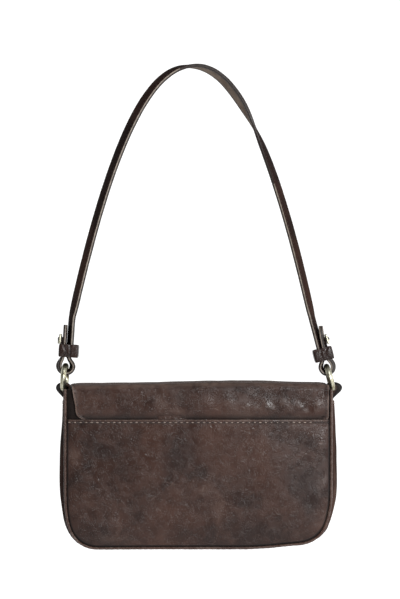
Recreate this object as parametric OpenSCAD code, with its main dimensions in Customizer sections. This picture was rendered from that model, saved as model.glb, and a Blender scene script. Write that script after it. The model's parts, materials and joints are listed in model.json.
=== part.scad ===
// Baguette bag in dark pull-up leather, hanging by its shoulder strap.
// The origin is the underside of the strap's crown, +Z is up, +Y is the flap's side.

/* [Bag body] */
// Width of the front and back panels, seam to seam
bag_w = 245; // [220:1:300]
// Height from the base to the top of the flap
bag_h = 155; // [130:1:190]
// Depth between the outer faces of the front and back panels
bag_d = 66; // [56:1:90]
// Radius of the panels' bottom corners
corner_r = 28; // [20:1:36]
// How far the bag's middle hangs to the right of the crown
bag_shift = 6; // [0:0.5:8]
// How far the gusset swells past its seams at mid height
side_bulge = 6.5; // [5:0.5:10]
// How far the gusset swells past its seams at its top edge
top_bulge = 3.5; // [3:0.25:4.5]
// Height over which the gusset swells from its top edge
bulge_h = 70; // [40:1:90]
// How far the base stands below its seams
base_bulge = 1.5; // [1:0.1:3]
// Width of the flat of the base, across the bag
base_flat = 44; // [30:1:48]
// How far the gusset's top edge lies below the top of the flap
gusset_drop = 17; // [15:0.5:22]
// How far the front and back panels' top edges lie below the top of the flap
panel_drop = 5.5; // [5:0.5:9]

/* [Leather and lining] */
// Thickness of the body leather
panel_t = 1.6; // [1.2:0.1:2.2]
// Thickness of the back pocket's leather
pocket_t = 1.6; // [1.2:0.1:2.2]
// Thickness of the stiffening boards behind the panels
board_t = 1; // [0.6:0.1:1.6]
// Margin between a panel's seam and its stiffening board
board_margin = 7; // [5:0.5:15]
// Thickness of the fabric lining
lining_t = 0.8; // [0.5:0.1:1.2]
// Thickness of the base board
base_board_t = 2; // [1.5:0.1:3]
// Length of the base board
base_board_l = 176; // [120:1:184]
// Clearance between layers that are sewn together
ply_gap = 0.1; // [0.05:0.05:0.2]
// Radius of the piping along the seams
piping_r = 1.3; // [1:0.1:1.8]
// Clearance round the piping
piping_gap = 0.2; // [0.15:0.05:0.3]
// Width of the pocket inside
inner_pocket_w = 150; // [100:1:190]
// Height of the pocket inside
inner_pocket_h = 85; // [60:1:95]

/* [Flap] */
// Distance from the flap's side edges in to the panels' side seams
flap_side_in = 1.5; // [1.5:0.5:22.5]
// Length of the flap down the front, from its top
flap_front = 95; // [70:1:120]
// Length of the flap's sewn end down the back, from its top
flap_back = 33.5; // [25:0.5:45]
// Radius of the flap's lower corners in front
flap_corner_r = 28; // [10:1:40]
// Radius of the sewn end's lower corners
yoke_corner_r = 9; // [4:1:14]
// How much narrower the sewn end is than the flap, on each side
yoke_in = 4; // [0:0.5:8]
// Thickness of the flap's outer leather
flap_t = 1.6; // [1.2:0.1:2]
// Thickness of the flap's board
flap_board_t = 0.8; // [0.6:0.1:1.2]
// Width of the flap's board, which passes between the strap's ends
flap_board_w = 166; // [120:1:168]
// Outer radius of the flap's bend over the front edge
front_bend_r = 7; // [6.5:0.5:9]
// Outer radius of the flap's bend over the back edge
back_bend_r = 5; // [4.5:0.5:7]
// Gap between the flap and its sewn end, at the fold
hinge_gap = 0.3; // [0.2:0.05:0.5]

/* [Magnetic snap] */
// Radius of the snap's discs
snap_r = 9; // [7:0.5:11]
// Thickness of the snap's socket
socket_t = 2; // [1.6:0.1:2.4]
// Thickness of the snap's stud
stud_t = 1.4; // [1.2:0.1:1.6]
// Radius of the stud's nub
nub_r = 3.2; // [2.5:0.1:3.6]
// Height of the stud's nub
nub_h = 1.2; // [0.8:0.1:1.4]
// Clearance round the nub
nub_play = 1.4; // [1.2:0.1:1.8]
// Gap between the stud and the socket when the flap is shut
snap_gap = 0.3; // [0.2:0.05:0.4]
// Height of the snap above the flap's lower edge
snap_up = 22; // [15:1:40]
// Radius of the snap's washers
washer_r = 7; // [6:0.5:8]
// Thickness of the snap's washers
washer_t = 0.6; // [0.4:0.1:0.6]
// Width of the snap's two legs
leg_w = 4; // [3:0.5:5]
// Thickness of the snap's two legs
leg_t = 0.6; // [0.5:0.1:0.8]
// Distance between the snap's two legs
leg_span = 8; // [7:0.5:9]
// Clearance of the legs in their slots
leg_gap = 0.15; // [0.1:0.05:0.2]

/* [Strap] */
// Distance from the strap's crown to the top of the bag
strap_drop = 297; // [250:1:330]
// Width of the strap
strap_w = 16; // [14:0.5:18]
// Thickness of the strap's outer leather
strap_t = 1.6; // [1.2:0.1:1.8]
// Thickness of the strap's lining
strap_lining_t = 1.6; // [1:0.1:1.8]
// How much squarer the arch is than a V, 1 for a V
arch_power = 2.16; // [1.8:0.02:2.6]
// How far the arch's foot lies inside the line of the rings
arch_in = 14.5; // [12:0.5:18]
// How far the arch's foot lies above the top of the bag
arch_foot = 64.5; // [60:0.5:72]
// Turn of the strap's face towards the back, in degrees
strap_roll = 20; // [0:1:24]

/* [Strap ends] */
// Width of the strap where it passes through a ring
loop_w = 9.5; // [9:0.5:11]
// Inner radius of the loop round the ring
loop_r = 5.6; // [5.2:0.1:6]
// How far the loop's middle lies outside the ring's top
loop_out = 0.7; // [0.4:0.1:1]
// Gap between the ring and the loop that hangs it
loop_gap = 0.9; // [0.7:0.05:1]
// Height at which the loop's two legs come together
fork_h = 15; // [14:0.5:18]
// Gap between the strap and its tail
tail_gap = 0.4; // [0.2:0.1:0.6]
// Height of the tail's tip above the loop's middle
tail_l = 38; // [34:1:46]
// Lean of the left end from upright, in degrees
end_tilt_left = 4.2; // [2:0.1:6]
// Lean of the right end from upright, in degrees
end_tilt_right = 14.5; // [12:0.1:16]
// Height of the keepers
keeper_h = 12; // [9:0.5:12]
// Thickness of the keepers' leather
keeper_t = 1.6; // [1.2:0.1:2]
// Height of a keeper's lower edge above the loop's middle
keeper_up = 7; // [6.5:0.1:7.4]
// Clearance of a keeper on the strap
keeper_gap = 0.4; // [0.3:0.05:0.6]
// Slack of a keeper towards the middle of the bag
keeper_slack = 2; // [0:0.1:3]

/* [Buckles] */
// Radius of the buckle's wire
buckle_r = 0.95; // [0.8:0.05:1]
// Width of the buckle between the middles of its side bars
buckle_w = 18; // [18:0.5:20]
// Height of the buckle between the middles of its outer bars
buckle_h = 7.4; // [7.2:0.1:7.8]
// Height of the buckle's middle bar above the loop's middle
buckle_up = 24.6; // [24.5:0.1:26]
// Thickness of the leather round the middle bar
chape_t = 1.4; // [1:0.1:1.4]
// Width of the leather round the middle bar
chape_w = 12; // [10:0.5:13]
// Length of the chape below the middle bar
chape_l = 8.4; // [7:0.2:8.8]
// Width of the prong
prong_w = 2.2; // [1.6:0.1:2.4]
// Thickness of the prong
prong_t = 1.3; // [1:0.1:1.4]
// Clearance of the prong on its bar
prong_gap = 0.08; // [0.05:0.01:0.1]
// Clearance of the chape on the bar and beside the prong
chape_gap = 0.1; // [0.08:0.01:0.15]

/* [Rings and tabs] */
// Radius of the rings, to the middle of the wire
ring_r = 11.25; // [11:0.05:11.5]
// Radius of the rings' wire
ring_wire_r = 2.75; // [2.5:0.05:2.8]
// Lean of the left ring from upright, in degrees
ring_tilt_left = 4; // [2:0.5:6]
// Lean of the right ring from upright, in degrees
ring_tilt_right = 15; // [13:0.5:15.5]
// Turn of the left ring about the upright, in degrees
ring_turn_left = 4; // [0:0.5:5]
// Turn of the right ring about the upright, in degrees
ring_turn_right = 0; // [0:0.5:2]
// How far the middle of the ring's lowest wire lies below the top of the flap
ring_sink = 6.75; // [6:0.25:7.5]
// How far the ring tabs' loops stand outside the side seams
tab_out = 4.5; // [4.5:0.1:5]
// Width of the ring tabs
tab_w = 11; // [9:0.5:11.5]
// Thickness of the ring tabs' leather
tab_t = 2.2; // [1.8:0.1:2.2]
// Length of a ring tab inside the gusset
tab_l = 20; // [14:0.5:24]
// Running clearance of a ring in its tab
ring_gap = 0.35; // [0.3:0.05:0.4]

/* [Hidden] */
$fn = 64;

LEFT = -1;
RIGHT = 1;
leather = [0.28, 0.225, 0.21];
leather_light = [0.36, 0.30, 0.275];
taupe = [0.45, 0.40, 0.36];
fabric = [0.30, 0.27, 0.25];
board_grey = [0.62, 0.60, 0.56];
brass = [0.66, 0.62, 0.48];

// Levels of the bag
top_z = -strap_drop;
base_z = top_z - bag_h;
seam_base_z = base_z + base_bulge + piping_r + piping_gap;
panel_top_z = top_z - panel_drop;
gusset_top_z = top_z - gusset_drop;
fold_z = top_z - front_bend_r;

// Layers of the back and front, as distances from the middle of the bag's depth
panel_y = bag_d / 2;
pocket_y = panel_y + ply_gap + pocket_t;
board_y = panel_y - panel_t - ply_gap;
lining_y = board_y - board_t - ply_gap;
inside_y = lining_y - lining_t;
piping_y = panel_y - piping_r + 0.5;
seam_out = piping_r + piping_gap;
gusset_y = piping_y - piping_r - piping_gap;

// Ring tabs: the folded leg lies between the gusset and its lining
tab_x = bag_w / 2 + tab_out;
tab_z = top_z - ring_sink;
tab_loop_r = ring_wire_r + ring_gap + tab_t;
tab_leg_x = bag_w / 2 + seam_out + top_bulge - panel_t - 3 * ply_gap;
lining_x = tab_leg_x - 2 * tab_t - 3 * ply_gap;
lining_base_z = base_z + panel_t + base_board_t + 4 * ply_gap;
lining_corner_r = corner_r - 2;

// Rings
function ring_tilt(side) = side == LEFT ? ring_tilt_left : ring_tilt_right;
function ring_turn(side) = side == LEFT ? ring_turn_left : ring_turn_right;
// The way from a ring's middle to its top
function ring_up(side) = let(a = ring_tilt(side), b = ring_turn(side)) [
  -side * ring_r * sin(a) * cos(b), -ring_r * sin(a) * sin(b), ring_r * cos(a)
];
function ring_middle(side) = [bag_shift + side * tab_x, 0, tab_z] + ring_up(side);

// Strap ends: u runs outwards and v up the strap from the middle of the loop
lay_u = (strap_t + tail_gap / 2);
leg_u = loop_r + strap_t;
ring_hole_r = ring_r - ring_wire_r;
loop_rise = sqrt(pow(ring_hole_r, 2) - pow(loop_w / 2, 2)) - loop_gap + loop_r;
function end_tilt(side) = side == LEFT ? end_tilt_left : end_tilt_right;
// The loop's middle lies on the ring's own upright, a little outside its wire
function loop_middle(side) = let(a = ring_tilt(side))
  ring_middle(side) + ring_up(side) * loop_rise / ring_r + loop_out * [side * cos(a), 0, sin(a)];
function loop_x(side) = loop_middle(side)[0];
function loop_z(side) = loop_middle(side)[2];
function end_point(side, u, v) = let(a = end_tilt(side)) [
  loop_x(side) + side * (u * cos(a) - v * sin(a)),
  loop_z(side) + u * sin(a) + v * cos(a)
];
function clamped(f) = min(max(f, 0), 1);
function smooth(f) = clamped(f) * clamped(f) * (3 - 2 * clamped(f));
function mix(a, b, f) = a + (b - a) * f;

// Half widths of the strap at a height above the loop's middle
tip_l = 6;
function end_half_w(v) = mix(loop_w, strap_w, smooth(v / fork_h)) / 2;
function tail_half_w(v) = end_half_w(v) * mix(0.5, 1, sqrt(clamped((tail_l - v) / tip_l)));

// Stations of the strap, each [x, z, half width, roll], from the left tail to the right one
straight_v = 30;
function tail_stations(side) = [
  for (v = [tail_l, tail_l - 1, tail_l - 2.5, tail_l - 5, tail_l - 9, tail_l - 14, fork_h])
    concat(end_point(side, lay_u, v), [tail_half_w(v), 0])
];
function leg_stations(side, sign) = [
  for (f = [1/6:1/6:0.99]) let(v = fork_h * (sign > 0 ? 1 - f : f))
    concat(
      end_point(side, sign * mix(leg_u, lay_u, smooth(v / fork_h)), v), [end_half_w(v), 0]
    )
];
function loop_stations(side) = [
  for (a = [0:-15:-180])
    concat(end_point(side, leg_u * cos(a), leg_u * sin(a)), [loop_w / 2, 0])
];
function inner_stations(side) = [
  for (v = [fork_h, (fork_h + straight_v) / 2, straight_v])
    concat(end_point(side, -lay_u, v), [strap_w / 2, 0])
];

// The arch falls as a power of the distance from the crown, and its foot joins the end's line
arch_w = tab_x - arch_in;
arch_d = strap_drop - arch_foot + strap_lining_t;
foot_roll = 0.4;
function arch_roll(f) =
  strap_roll * smooth((f - 0.2) / 0.4) * mix(1, foot_roll, smooth((f - 0.85) / 0.15));
function arch_station(t) = let(f = sin(90 * abs(t))) [
  sign(t) * arch_w * f, strap_lining_t - arch_d * pow(f, arch_power), strap_w / 2, arch_roll(abs(t))
];
function hermite(a, b, ta, tb, f) =
  let(f2 = f * f, f3 = f2 * f)
    a * (2 * f3 - 3 * f2 + 1) + ta * (f3 - 2 * f2 + f) + b * (3 * f2 - 2 * f3) + tb * (f3 - f2);
function foot_stations(side) =
  let(
    a = [side * arch_w, strap_lining_t - arch_d],
    b = end_point(side, -lay_u, straight_v),
    gap = norm(b - a),
    fall = [side * arch_w, -arch_power * arch_d],
    down = end_point(side, 0, 0) - end_point(side, 0, 1)
  )
  [
    for (f = [0.2:0.2:0.81])
      concat(
        hermite(a, b, fall * gap / norm(fall), down * gap, f),
        [strap_w / 2, strap_roll * foot_roll * (1 - smooth(f))]
      )
  ];
function reversed(list) = [for (i = [len(list) - 1:-1:0]) list[i]];
function half_stations(side) = concat(
  tail_stations(side), leg_stations(side, 1), loop_stations(side), leg_stations(side, -1),
  inner_stations(side), reversed(foot_stations(side))
);
arch_steps = 16;
strap_stations = concat(
  half_stations(LEFT),
  [for (i = [-arch_steps:arch_steps]) arch_station(i / arch_steps)],
  reversed(half_stations(RIGHT))
);

// A flat band that follows the stations, between two distances from its middle surface
function band_way(s, i) = let(
  a = s[max(i - 1, 0)], b = s[min(i + 1, len(s) - 1)], d = [b[0] - a[0], b[1] - a[1]]
) d / norm(d);
function band_corners(s, i, low, high) =
  let(
    way = band_way(s, i), out = [-way[1], 0, way[0]], roll = s[i][3],
    across = [0, cos(roll), 0] + out * sin(roll),
    through = out * cos(roll) - [0, sin(roll), 0],
    middle = [s[i][0], 0, s[i][1]], half = s[i][2]
  )
  [
    middle - across * half + through * low, middle + across * half + through * low,
    middle + across * half + through * high, middle - across * half + through * high
  ];
module band(s, low, high) {
  n = len(s);
  // Both plies split their shared surface along the same diagonals
  polyhedron(
    points = [for (i = [0:n - 1]) each band_corners(s, i, low, high)],
    faces = concat(
      [[0, 1, 2, 3]],
      [for (i = [0:n - 2], k = [0:3])
        let(m = (k + 1) % 4, a = 4 * i + k, b = a + 4, d = 4 * i + m, c = d + 4)
          each k < 2 ? [[a, b, c], [a, c, d]] : [[a, b, d], [b, c, d]]],
      [[4 * n - 1, 4 * n - 2, 4 * n - 3, 4 * n - 4]]
    )
  );
}

// Extrusions of drawings made in the X-Z and Y-Z planes
module along_y(low, high) {
  translate([0, high, 0]) rotate([90, 0, 0]) linear_extrude(high - low) children();
}
module along_x(low, high) {
  translate([low, 0, 0]) rotate([90, 0, 90]) linear_extrude(high - low) children();
}
module in_bag() {
  translate([bag_shift, 0, 0]) children();
}
module mirrored_if(turned) {
  if (turned) mirror([0, 1, 0]) children();
  else children();
}

// A panel's outline: square at the top and round at the two lower corners
module panel_outline(w, top, base, r) {
  translate([-w / 2, base + r]) square([w, top - base - r]);
  translate([-w / 2 + r, base]) square([w - 2 * r, r + 1]);
  for (side = [-1, 1]) translate([side * (w / 2 - r), base + r]) circle(r);
}
// A layer of the bag, from one distance behind the middle to another
module layer(inner_y, outer_y, w, top, base, r) {
  along_y(-outer_y, -inner_y) panel_outline(w, top, base, r);
}

// Back, front and their linings
module back_panel() {
  color(leather) in_bag()
    layer(panel_y - panel_t, panel_y, bag_w, panel_top_z, seam_base_z, corner_r);
}
module back_pocket_panel() {
  color(leather) in_bag()
    layer(
      panel_y + ply_gap, pocket_y, bag_w, top_z - flap_back - hinge_gap, seam_base_z, corner_r
    );
}
module board(hole_r) {
  w = bag_w - 2 * board_margin;
  difference() {
    layer(
      board_y - board_t, board_y, w, panel_top_z - board_margin, seam_base_z + board_margin,
      corner_r - board_margin / 2
    );
    if (hole_r > 0) translate([0, 0, snap_z]) rotate([90, 0, 0]) cylinder(r = hole_r, h = bag_d);
  }
}
module back_board() {
  color(board_grey) in_bag() board(0);
}
module front_board() {
  color(board_grey) in_bag() mirror([0, 1, 0]) board(washer_r + 2 * leg_gap);
}
module lining_layer() {
  layer(
    inside_y, lining_y, 2 * lining_x, panel_top_z - ply_gap, lining_base_z, lining_corner_r
  );
}
module lining_back() {
  color(fabric) in_bag() lining_layer();
}
module lining_front() {
  color(fabric) in_bag() mirror([0, 1, 0]) lining_layer();
}
module lining_gusset() {
  color(fabric) in_bag() along_y(-inside_y + ply_gap, inside_y - ply_gap) difference() {
    panel_outline(2 * lining_x, gusset_top_z - 1, lining_base_z, lining_corner_r);
    translate([0, lining_t]) panel_outline(
      2 * (lining_x - lining_t), gusset_top_z + 9, lining_base_z, lining_corner_r - lining_t
    );
  }
}
module inner_pocket() {
  color(fabric) in_bag() along_y(-inside_y + ply_gap, -inside_y + ply_gap + lining_t)
    translate([-inner_pocket_w / 2, panel_top_z - 30 - inner_pocket_h])
      square([inner_pocket_w, inner_pocket_h]);
}
module base_board() {
  color(board_grey) in_bag()
    translate([-base_board_l / 2, -base_flat / 2 + 1, base_z + panel_t + ply_gap])
      cube([base_board_l, base_flat - 2, base_board_t]);
}

// Piping: a cord in leather along each seam, up both sides and round the corners
module piping(turned) {
  r = corner_r + seam_out;
  x = bag_w / 2 - corner_r;
  z = seam_base_z + corner_r;
  color(leather_light) in_bag() mirrored_if(turned) translate([0, -piping_y, 0]) {
    translate([-x, 0, z - r]) rotate([0, 90, 0]) cylinder(r = piping_r, h = 2 * x);
    for (side = [-1, 1]) {
      translate([side * (x + r), 0, z]) cylinder(r = piping_r, h = panel_top_z - z);
      translate([side * x, 0, z]) rotate([90, 0, 0]) rotate([0, 0, side > 0 ? -90 : 180])
        rotate_extrude(angle = 90) translate([r, 0]) circle(piping_r);
    }
  }
}
module piping_back() {
  piping(false);
}
module piping_front() {
  piping(true);
}

// Gusset: one strip of leather from seam to seam, swelling most at the sides
corner_steps = 9;
side_steps = 8;
depth_steps = 12;
// The seam's course, each [x, z, way out in x, way out in z, swell]
function seam_side(side, f) = let(
  z = mix(gusset_top_z, seam_base_z + corner_r, f), fall = gusset_top_z - z
) [
  side * bag_w / 2, z, side, 0, mix(top_bulge, side_bulge, smooth(fall / bulge_h))
];
function seam_corner(side, a) = [
  side * (bag_w / 2 - corner_r + corner_r * cos(a)), seam_base_z + corner_r - corner_r * sin(a),
  side * cos(a), -sin(a), mix(side_bulge, base_bulge, smooth(a / 90))
];
seam_course = concat(
  [for (i = [0:side_steps]) seam_side(-1, i / side_steps)],
  [for (i = [1:corner_steps]) seam_corner(-1, 90 * i / corner_steps)],
  [for (i = [corner_steps:-1:1]) seam_corner(1, 90 * i / corner_steps)],
  [for (i = [side_steps:-1:0]) seam_side(1, i / side_steps)]
);
// Share of the swell at a distance from the middle of the depth: round at the sides, flat below
function swell_round(y) = 1 - pow(abs(y) / gusset_y, 2.2);
function swell_flat(y) = 1 - smooth((abs(y) - base_flat / 2) / (gusset_y - base_flat / 2));
function swell(c, y) = c[4] * mix(swell_round(y), swell_flat(y), c[3] * c[3]);
function gusset_depth(j) = let(e = base_flat / 2, n = depth_steps) (
  j <= 4 ? mix(-gusset_y, -e, j / 4) : j >= n - 4 ? mix(e, gusset_y, (j - n + 4) / 4)
  : mix(-e, e, (j - 4) / (n - 8))
);
function gusset_point(c, y, in) = let(out = seam_out + swell(c, y) - in) [
  c[0] + c[2] * out, y, c[1] + c[3] * out
];
module gusset() {
  n = len(seam_course);
  m = depth_steps + 1;
  skin = n * m;
  function at(i, j, k) = k * skin + i * m + j;
  color(leather) in_bag() polyhedron(
    points = [
      for (k = [0, 1], i = [0:n - 1], j = [0:m - 1])
        gusset_point(seam_course[i], gusset_depth(j), k * panel_t)
    ],
    faces = [
      for (i = [0:n - 2], j = [0:m - 2])
        each [
          [at(i, j, 0), at(i, j + 1, 0), at(i + 1, j + 1, 0)],
          [at(i, j, 0), at(i + 1, j + 1, 0), at(i + 1, j, 0)],
          [at(i, j, 1), at(i + 1, j, 1), at(i + 1, j + 1, 1)],
          [at(i, j, 1), at(i + 1, j + 1, 1), at(i, j + 1, 1)]
        ],
      for (i = [0:n - 2])
        each [
          [at(i, 0, 0), at(i + 1, 0, 0), at(i + 1, 0, 1), at(i, 0, 1)],
          [at(i, m - 1, 0), at(i, m - 1, 1), at(i + 1, m - 1, 1), at(i + 1, m - 1, 0)]
        ],
      for (j = [0:m - 2])
        each [
          [at(0, j, 0), at(0, j, 1), at(0, j + 1, 1), at(0, j + 1, 0)],
          [at(n - 1, j, 0), at(n - 1, j + 1, 0), at(n - 1, j + 1, 1), at(n - 1, j, 1)]
        ]
    ]
  );
}

// Flap: its layers share one bend over the front edge
flap_w = bag_w - 2 * flap_side_in;
flap_in_r = front_bend_r - flap_t - flap_board_t - lining_t - 2 * ply_gap;
bend_y = panel_y + socket_t + snap_gap + stud_t + ply_gap - flap_in_r;
hinge_y = -(pocket_y - back_bend_r);
snap_z = top_z - flap_front + snap_up;
// A layer of the flap in the Y-Z plane, between two radii of the front bend
module flap_section(inner_r, outer_r) {
  start = hinge_y + hinge_gap;
  translate([start, fold_z + inner_r]) square([bend_y - start, outer_r - inner_r]);
  translate([bend_y + inner_r, top_z - flap_front - 1])
    square([outer_r - inner_r, fold_z - top_z + flap_front + 1]);
  translate([bend_y, fold_z]) intersection() {
    difference() {
      circle(outer_r);
      circle(inner_r);
    }
    square(outer_r + 1);
  }
}
module flap_layer(inner_r, outer_r, w, margin) {
  intersection() {
    along_x(-w / 2, w / 2) flap_section(inner_r, outer_r);
    along_y(-bag_d, bag_d) panel_outline(
      w, top_z + 1, top_z - flap_front + margin, flap_corner_r - margin
    );
  }
}
outer_in_r = front_bend_r - flap_t;
board_out_r = outer_in_r - ply_gap;
lining_out_r = board_out_r - flap_board_t - ply_gap;
module flap_outer() {
  color(leather) in_bag() flap_layer(outer_in_r, front_bend_r, flap_w, 0);
}
module flap_board() {
  color(board_grey) in_bag() difference() {
    flap_layer(board_out_r - flap_board_t, board_out_r, flap_board_w, board_margin);
    translate([0, 0, snap_z]) rotate([-90, 0, 0])
      cylinder(r = washer_r + 2 * leg_gap, h = bag_d);
  }
}
module flap_lining() {
  color(fabric) in_bag() difference() {
    flap_layer(flap_in_r, lining_out_r, flap_w - 3, 1.5);
    snap_slots(bend_y + flap_in_r - 1, bend_y + lining_out_r + 1, leg_gap);
  }
}
// The flap's end that is folded over the back edge and sewn down on the back panel
module flap_yoke() {
  in_r = back_bend_r - pocket_t;
  z = top_z - back_bend_r;
  half = flap_w / 2;
  corner_x = half - yoke_in - yoke_corner_r;
  corner_z = top_z - flap_back + yoke_corner_r;
  color(leather) in_bag() intersection() {
    along_x(-flap_w / 2, flap_w / 2) {
      translate([-pocket_y, top_z - flap_back]) square([pocket_t, flap_back - back_bend_r]);
      translate([hinge_y, z]) intersection() {
        difference() {
          circle(back_bend_r);
          circle(in_r);
        }
        translate([-back_bend_r - 1, 0]) square(back_bend_r + 1);
      }
    }
    along_y(-bag_d, bag_d) polygon(concat(
      [[half, top_z + 1], [-half, top_z + 1]],
      [for (a = [180:10:270]) [-corner_x, corner_z] + yoke_corner_r * [cos(a), sin(a)]],
      [for (a = [270:10:360]) [corner_x, corner_z] + yoke_corner_r * [cos(a), sin(a)]]
    ));
  }
}

// Magnetic snap: each half has two legs through the leather, bent over a washer
module snap_slots(low, high, gap) {
  for (side = [-1, 1])
    translate([side * leg_span / 2 - leg_t / 2 - gap, low, snap_z - leg_w / 2 - gap])
      cube([leg_t + 2 * gap, high - low, leg_w + 2 * gap]);
}
module disc(low, high, r) {
  translate([0, high, snap_z]) rotate([90, 0, 0]) cylinder(r = r, h = high - low);
}
socket_y = panel_y + ply_gap / 2;
stud_y = bend_y + flap_in_r - ply_gap / 2;
module front_panel() {
  color(leather) in_bag() difference() {
    mirror([0, 1, 0])
      layer(panel_y - panel_t, panel_y, bag_w, panel_top_z, seam_base_z, corner_r);
    snap_slots(panel_y - panel_t - 1, panel_y + 1, leg_gap);
  }
}
module snap_socket() {
  color(brass) in_bag() {
    difference() {
      disc(socket_y, panel_y + socket_t, snap_r);
      disc(socket_y + 0.4, panel_y + socket_t + 1, nub_r + nub_play);
    }
    snap_slots(board_y - washer_t, socket_y + 0.2, 0);
  }
}
module snap_socket_washer() {
  color(brass) in_bag() difference() {
    disc(board_y - washer_t, board_y, washer_r);
    snap_slots(board_y - washer_t - 1, board_y + 1, leg_gap);
  }
}
module snap_stud() {
  color(brass) in_bag() {
    disc(stud_y - stud_t, stud_y, snap_r);
    disc(stud_y - stud_t - nub_h, stud_y - stud_t + 0.1, nub_r);
    snap_slots(stud_y - 0.2, bend_y + board_out_r - flap_board_t + washer_t, 0);
  }
}
module snap_stud_washer() {
  low = bend_y + board_out_r - flap_board_t;
  color(brass) in_bag() difference() {
    disc(low, low + washer_t, washer_r);
    snap_slots(low - 1, low + washer_t + 1, leg_gap);
  }
}

// Strap: two plies, sewn together over their whole length
module strap_outer() {
  color(leather) band(strap_stations, 0, strap_t);
}
module strap_lining() {
  color(taupe) band(strap_stations, -strap_lining_t, 0);
}

// Places a piece drawn with X outwards and Z up the strap at one end of the strap
module at_end(side) {
  translate([loop_x(side), 0, loop_z(side)]) rotate([0, -side * end_tilt(side), 0])
    mirror([side == LEFT ? 1 : 0, 0, 0]) children();
}
// The farthest that the spread legs reach inside a keeper
keeper_leg_u =
  mix(leg_u, lay_u, smooth(keeper_up / fork_h)) + max(strap_t, strap_lining_t) + keeper_gap;
module keeper(side) {
  low = -keeper_leg_u - keeper_slack;
  half = strap_w / 2 + keeper_gap;
  color(leather_light) at_end(side) translate([0, 0, keeper_up]) difference() {
    translate([low - keeper_t, -half - keeper_t, 0])
      cube([keeper_leg_u - low + 2 * keeper_t, 2 * (half + keeper_t), keeper_h]);
    translate([low, -half, -1]) cube([keeper_leg_u - low, 2 * half, keeper_h + 2]);
  }
}
module keeper_left() {
  keeper(LEFT);
}
module keeper_right() {
  keeper(RIGHT);
}

// Buckle: a frame of round wire with a middle bar, on the outer face of the tail
tail_face_u = lay_u + strap_lining_t;
chape_r = buckle_r + chape_gap + chape_t;
bar_u = tail_face_u + ply_gap + chape_r;
module bar(half_l) {
  rotate([90, 0, 0]) cylinder(r = buckle_r, h = 2 * half_l, center = true, $fn = 32);
}
module buckle(side) {
  color(brass) at_end(side) translate([bar_u, 0, buckle_up]) {
    for (z = [-buckle_h / 2, 0, buckle_h / 2]) translate([0, 0, z]) bar(buckle_w / 2);
    for (y = [-buckle_w / 2, buckle_w / 2]) translate([0, y, 0]) {
      cylinder(r = buckle_r, h = buckle_h, center = true, $fn = 32);
      for (z = [-buckle_h / 2, buckle_h / 2]) translate([0, 0, z]) sphere(buckle_r, $fn = 32);
    }
  }
}
module buckle_left() {
  buckle(LEFT);
}
module buckle_right() {
  buckle(RIGHT);
}
module chape(side) {
  color(leather) at_end(side) translate([bar_u, 0, buckle_up]) difference() {
    along_y(-chape_w / 2, chape_w / 2) difference() {
      union() {
        circle(chape_r);
        translate([-chape_r, -chape_l]) square([chape_t - chape_gap / 2, chape_l]);
      }
      circle(buckle_r + chape_gap);
    }
    translate([-chape_r + chape_t / 2, -prong_w / 2 - 2 * chape_gap, -chape_r - 1])
      cube([2 * chape_r, prong_w + 4 * chape_gap, 2 * chape_r + 2]);
  }
}
module chape_left() {
  chape(LEFT);
}
module chape_right() {
  chape(RIGHT);
}
// The prong's eye turns on the middle bar, and its tip lies on the lower bar
module prong(side) {
  hole_r = buckle_r + prong_gap;
  eye_r = hole_r + prong_t / 2;
  face = hole_r + prong_gap;
  lower = buckle_h / 2 + buckle_r;
  color(brass) at_end(side) translate([bar_u, 0, buckle_up]) along_y(-prong_w / 2, prong_w / 2)
    difference() {
      union() {
        circle(eye_r, $fn = 32);
        polygon([
          [(hole_r + 2 * eye_r) / 3, 0.3], [(hole_r + eye_r) / 2, 0],
          [face, -lower], [face + prong_t * 0.5, -lower - 0.4], [face + prong_t * 0.9, -lower],
          [face + prong_t, -1]
        ]);
      }
      circle(hole_r, $fn = 32);
    }
}
module prong_left() {
  prong(LEFT);
}
module prong_right() {
  prong(RIGHT);
}

// Rings: round wire, leaning with the strap's ends
module torus(wire_r) {
  rotate([0, 90, 0]) rotate_extrude() translate([ring_r, 0]) circle(wire_r);
}
module at_ring(side) {
  translate(ring_middle(side)) rotate([0, 0, side * ring_turn(side)])
    rotate([0, -side * ring_tilt(side), 0]) children();
}
module ring_left() {
  color(brass) at_ring(LEFT) torus(ring_wire_r);
}
module ring_right() {
  color(brass) at_ring(RIGHT) torus(ring_wire_r);
}

// Ring tab: a strip folded round the ring, its two ends sewn inside the gusset's top
module ring_tab(side) {
  leg_top = gusset_top_z + 2 * ply_gap;
  low_x = tab_leg_x - 2 * tab_t;
  cheek_r = tab_loop_r - ring_gap;
  color(leather) difference() {
    in_bag() mirror([side == LEFT ? 1 : 0, 0, 0]) along_y(-tab_w / 2, tab_w / 2) {
      translate([tab_x, tab_z]) circle(tab_loop_r);
      polygon([
        [tab_x - cheek_r * cos(14), tab_z - cheek_r * sin(14)],
        [low_x, leg_top], [low_x, gusset_top_z - tab_l],
        [tab_leg_x, gusset_top_z - tab_l], [tab_leg_x, leg_top],
        [tab_x + cheek_r * cos(36), tab_z - cheek_r * sin(36)],
        [tab_x, tab_z]
      ]);
    }
    at_ring(side) torus(ring_wire_r + ring_gap);
  }
}
module ring_tab_left() {
  ring_tab(LEFT);
}
module ring_tab_right() {
  ring_tab(RIGHT);
}

strap_outer();
strap_lining();
keeper_left();
keeper_right();
buckle_left();
buckle_right();
chape_left();
chape_right();
prong_left();
prong_right();
ring_left();
ring_right();
ring_tab_left();
ring_tab_right();
back_panel();
back_pocket_panel();
front_panel();
gusset();
piping_back();
piping_front();
back_board();
front_board();
base_board();
lining_back();
lining_front();
lining_gusset();
inner_pocket();
flap_yoke();
flap_outer();
flap_board();
flap_lining();
snap_socket();
snap_socket_washer();
snap_stud();
snap_stud_washer();
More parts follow.
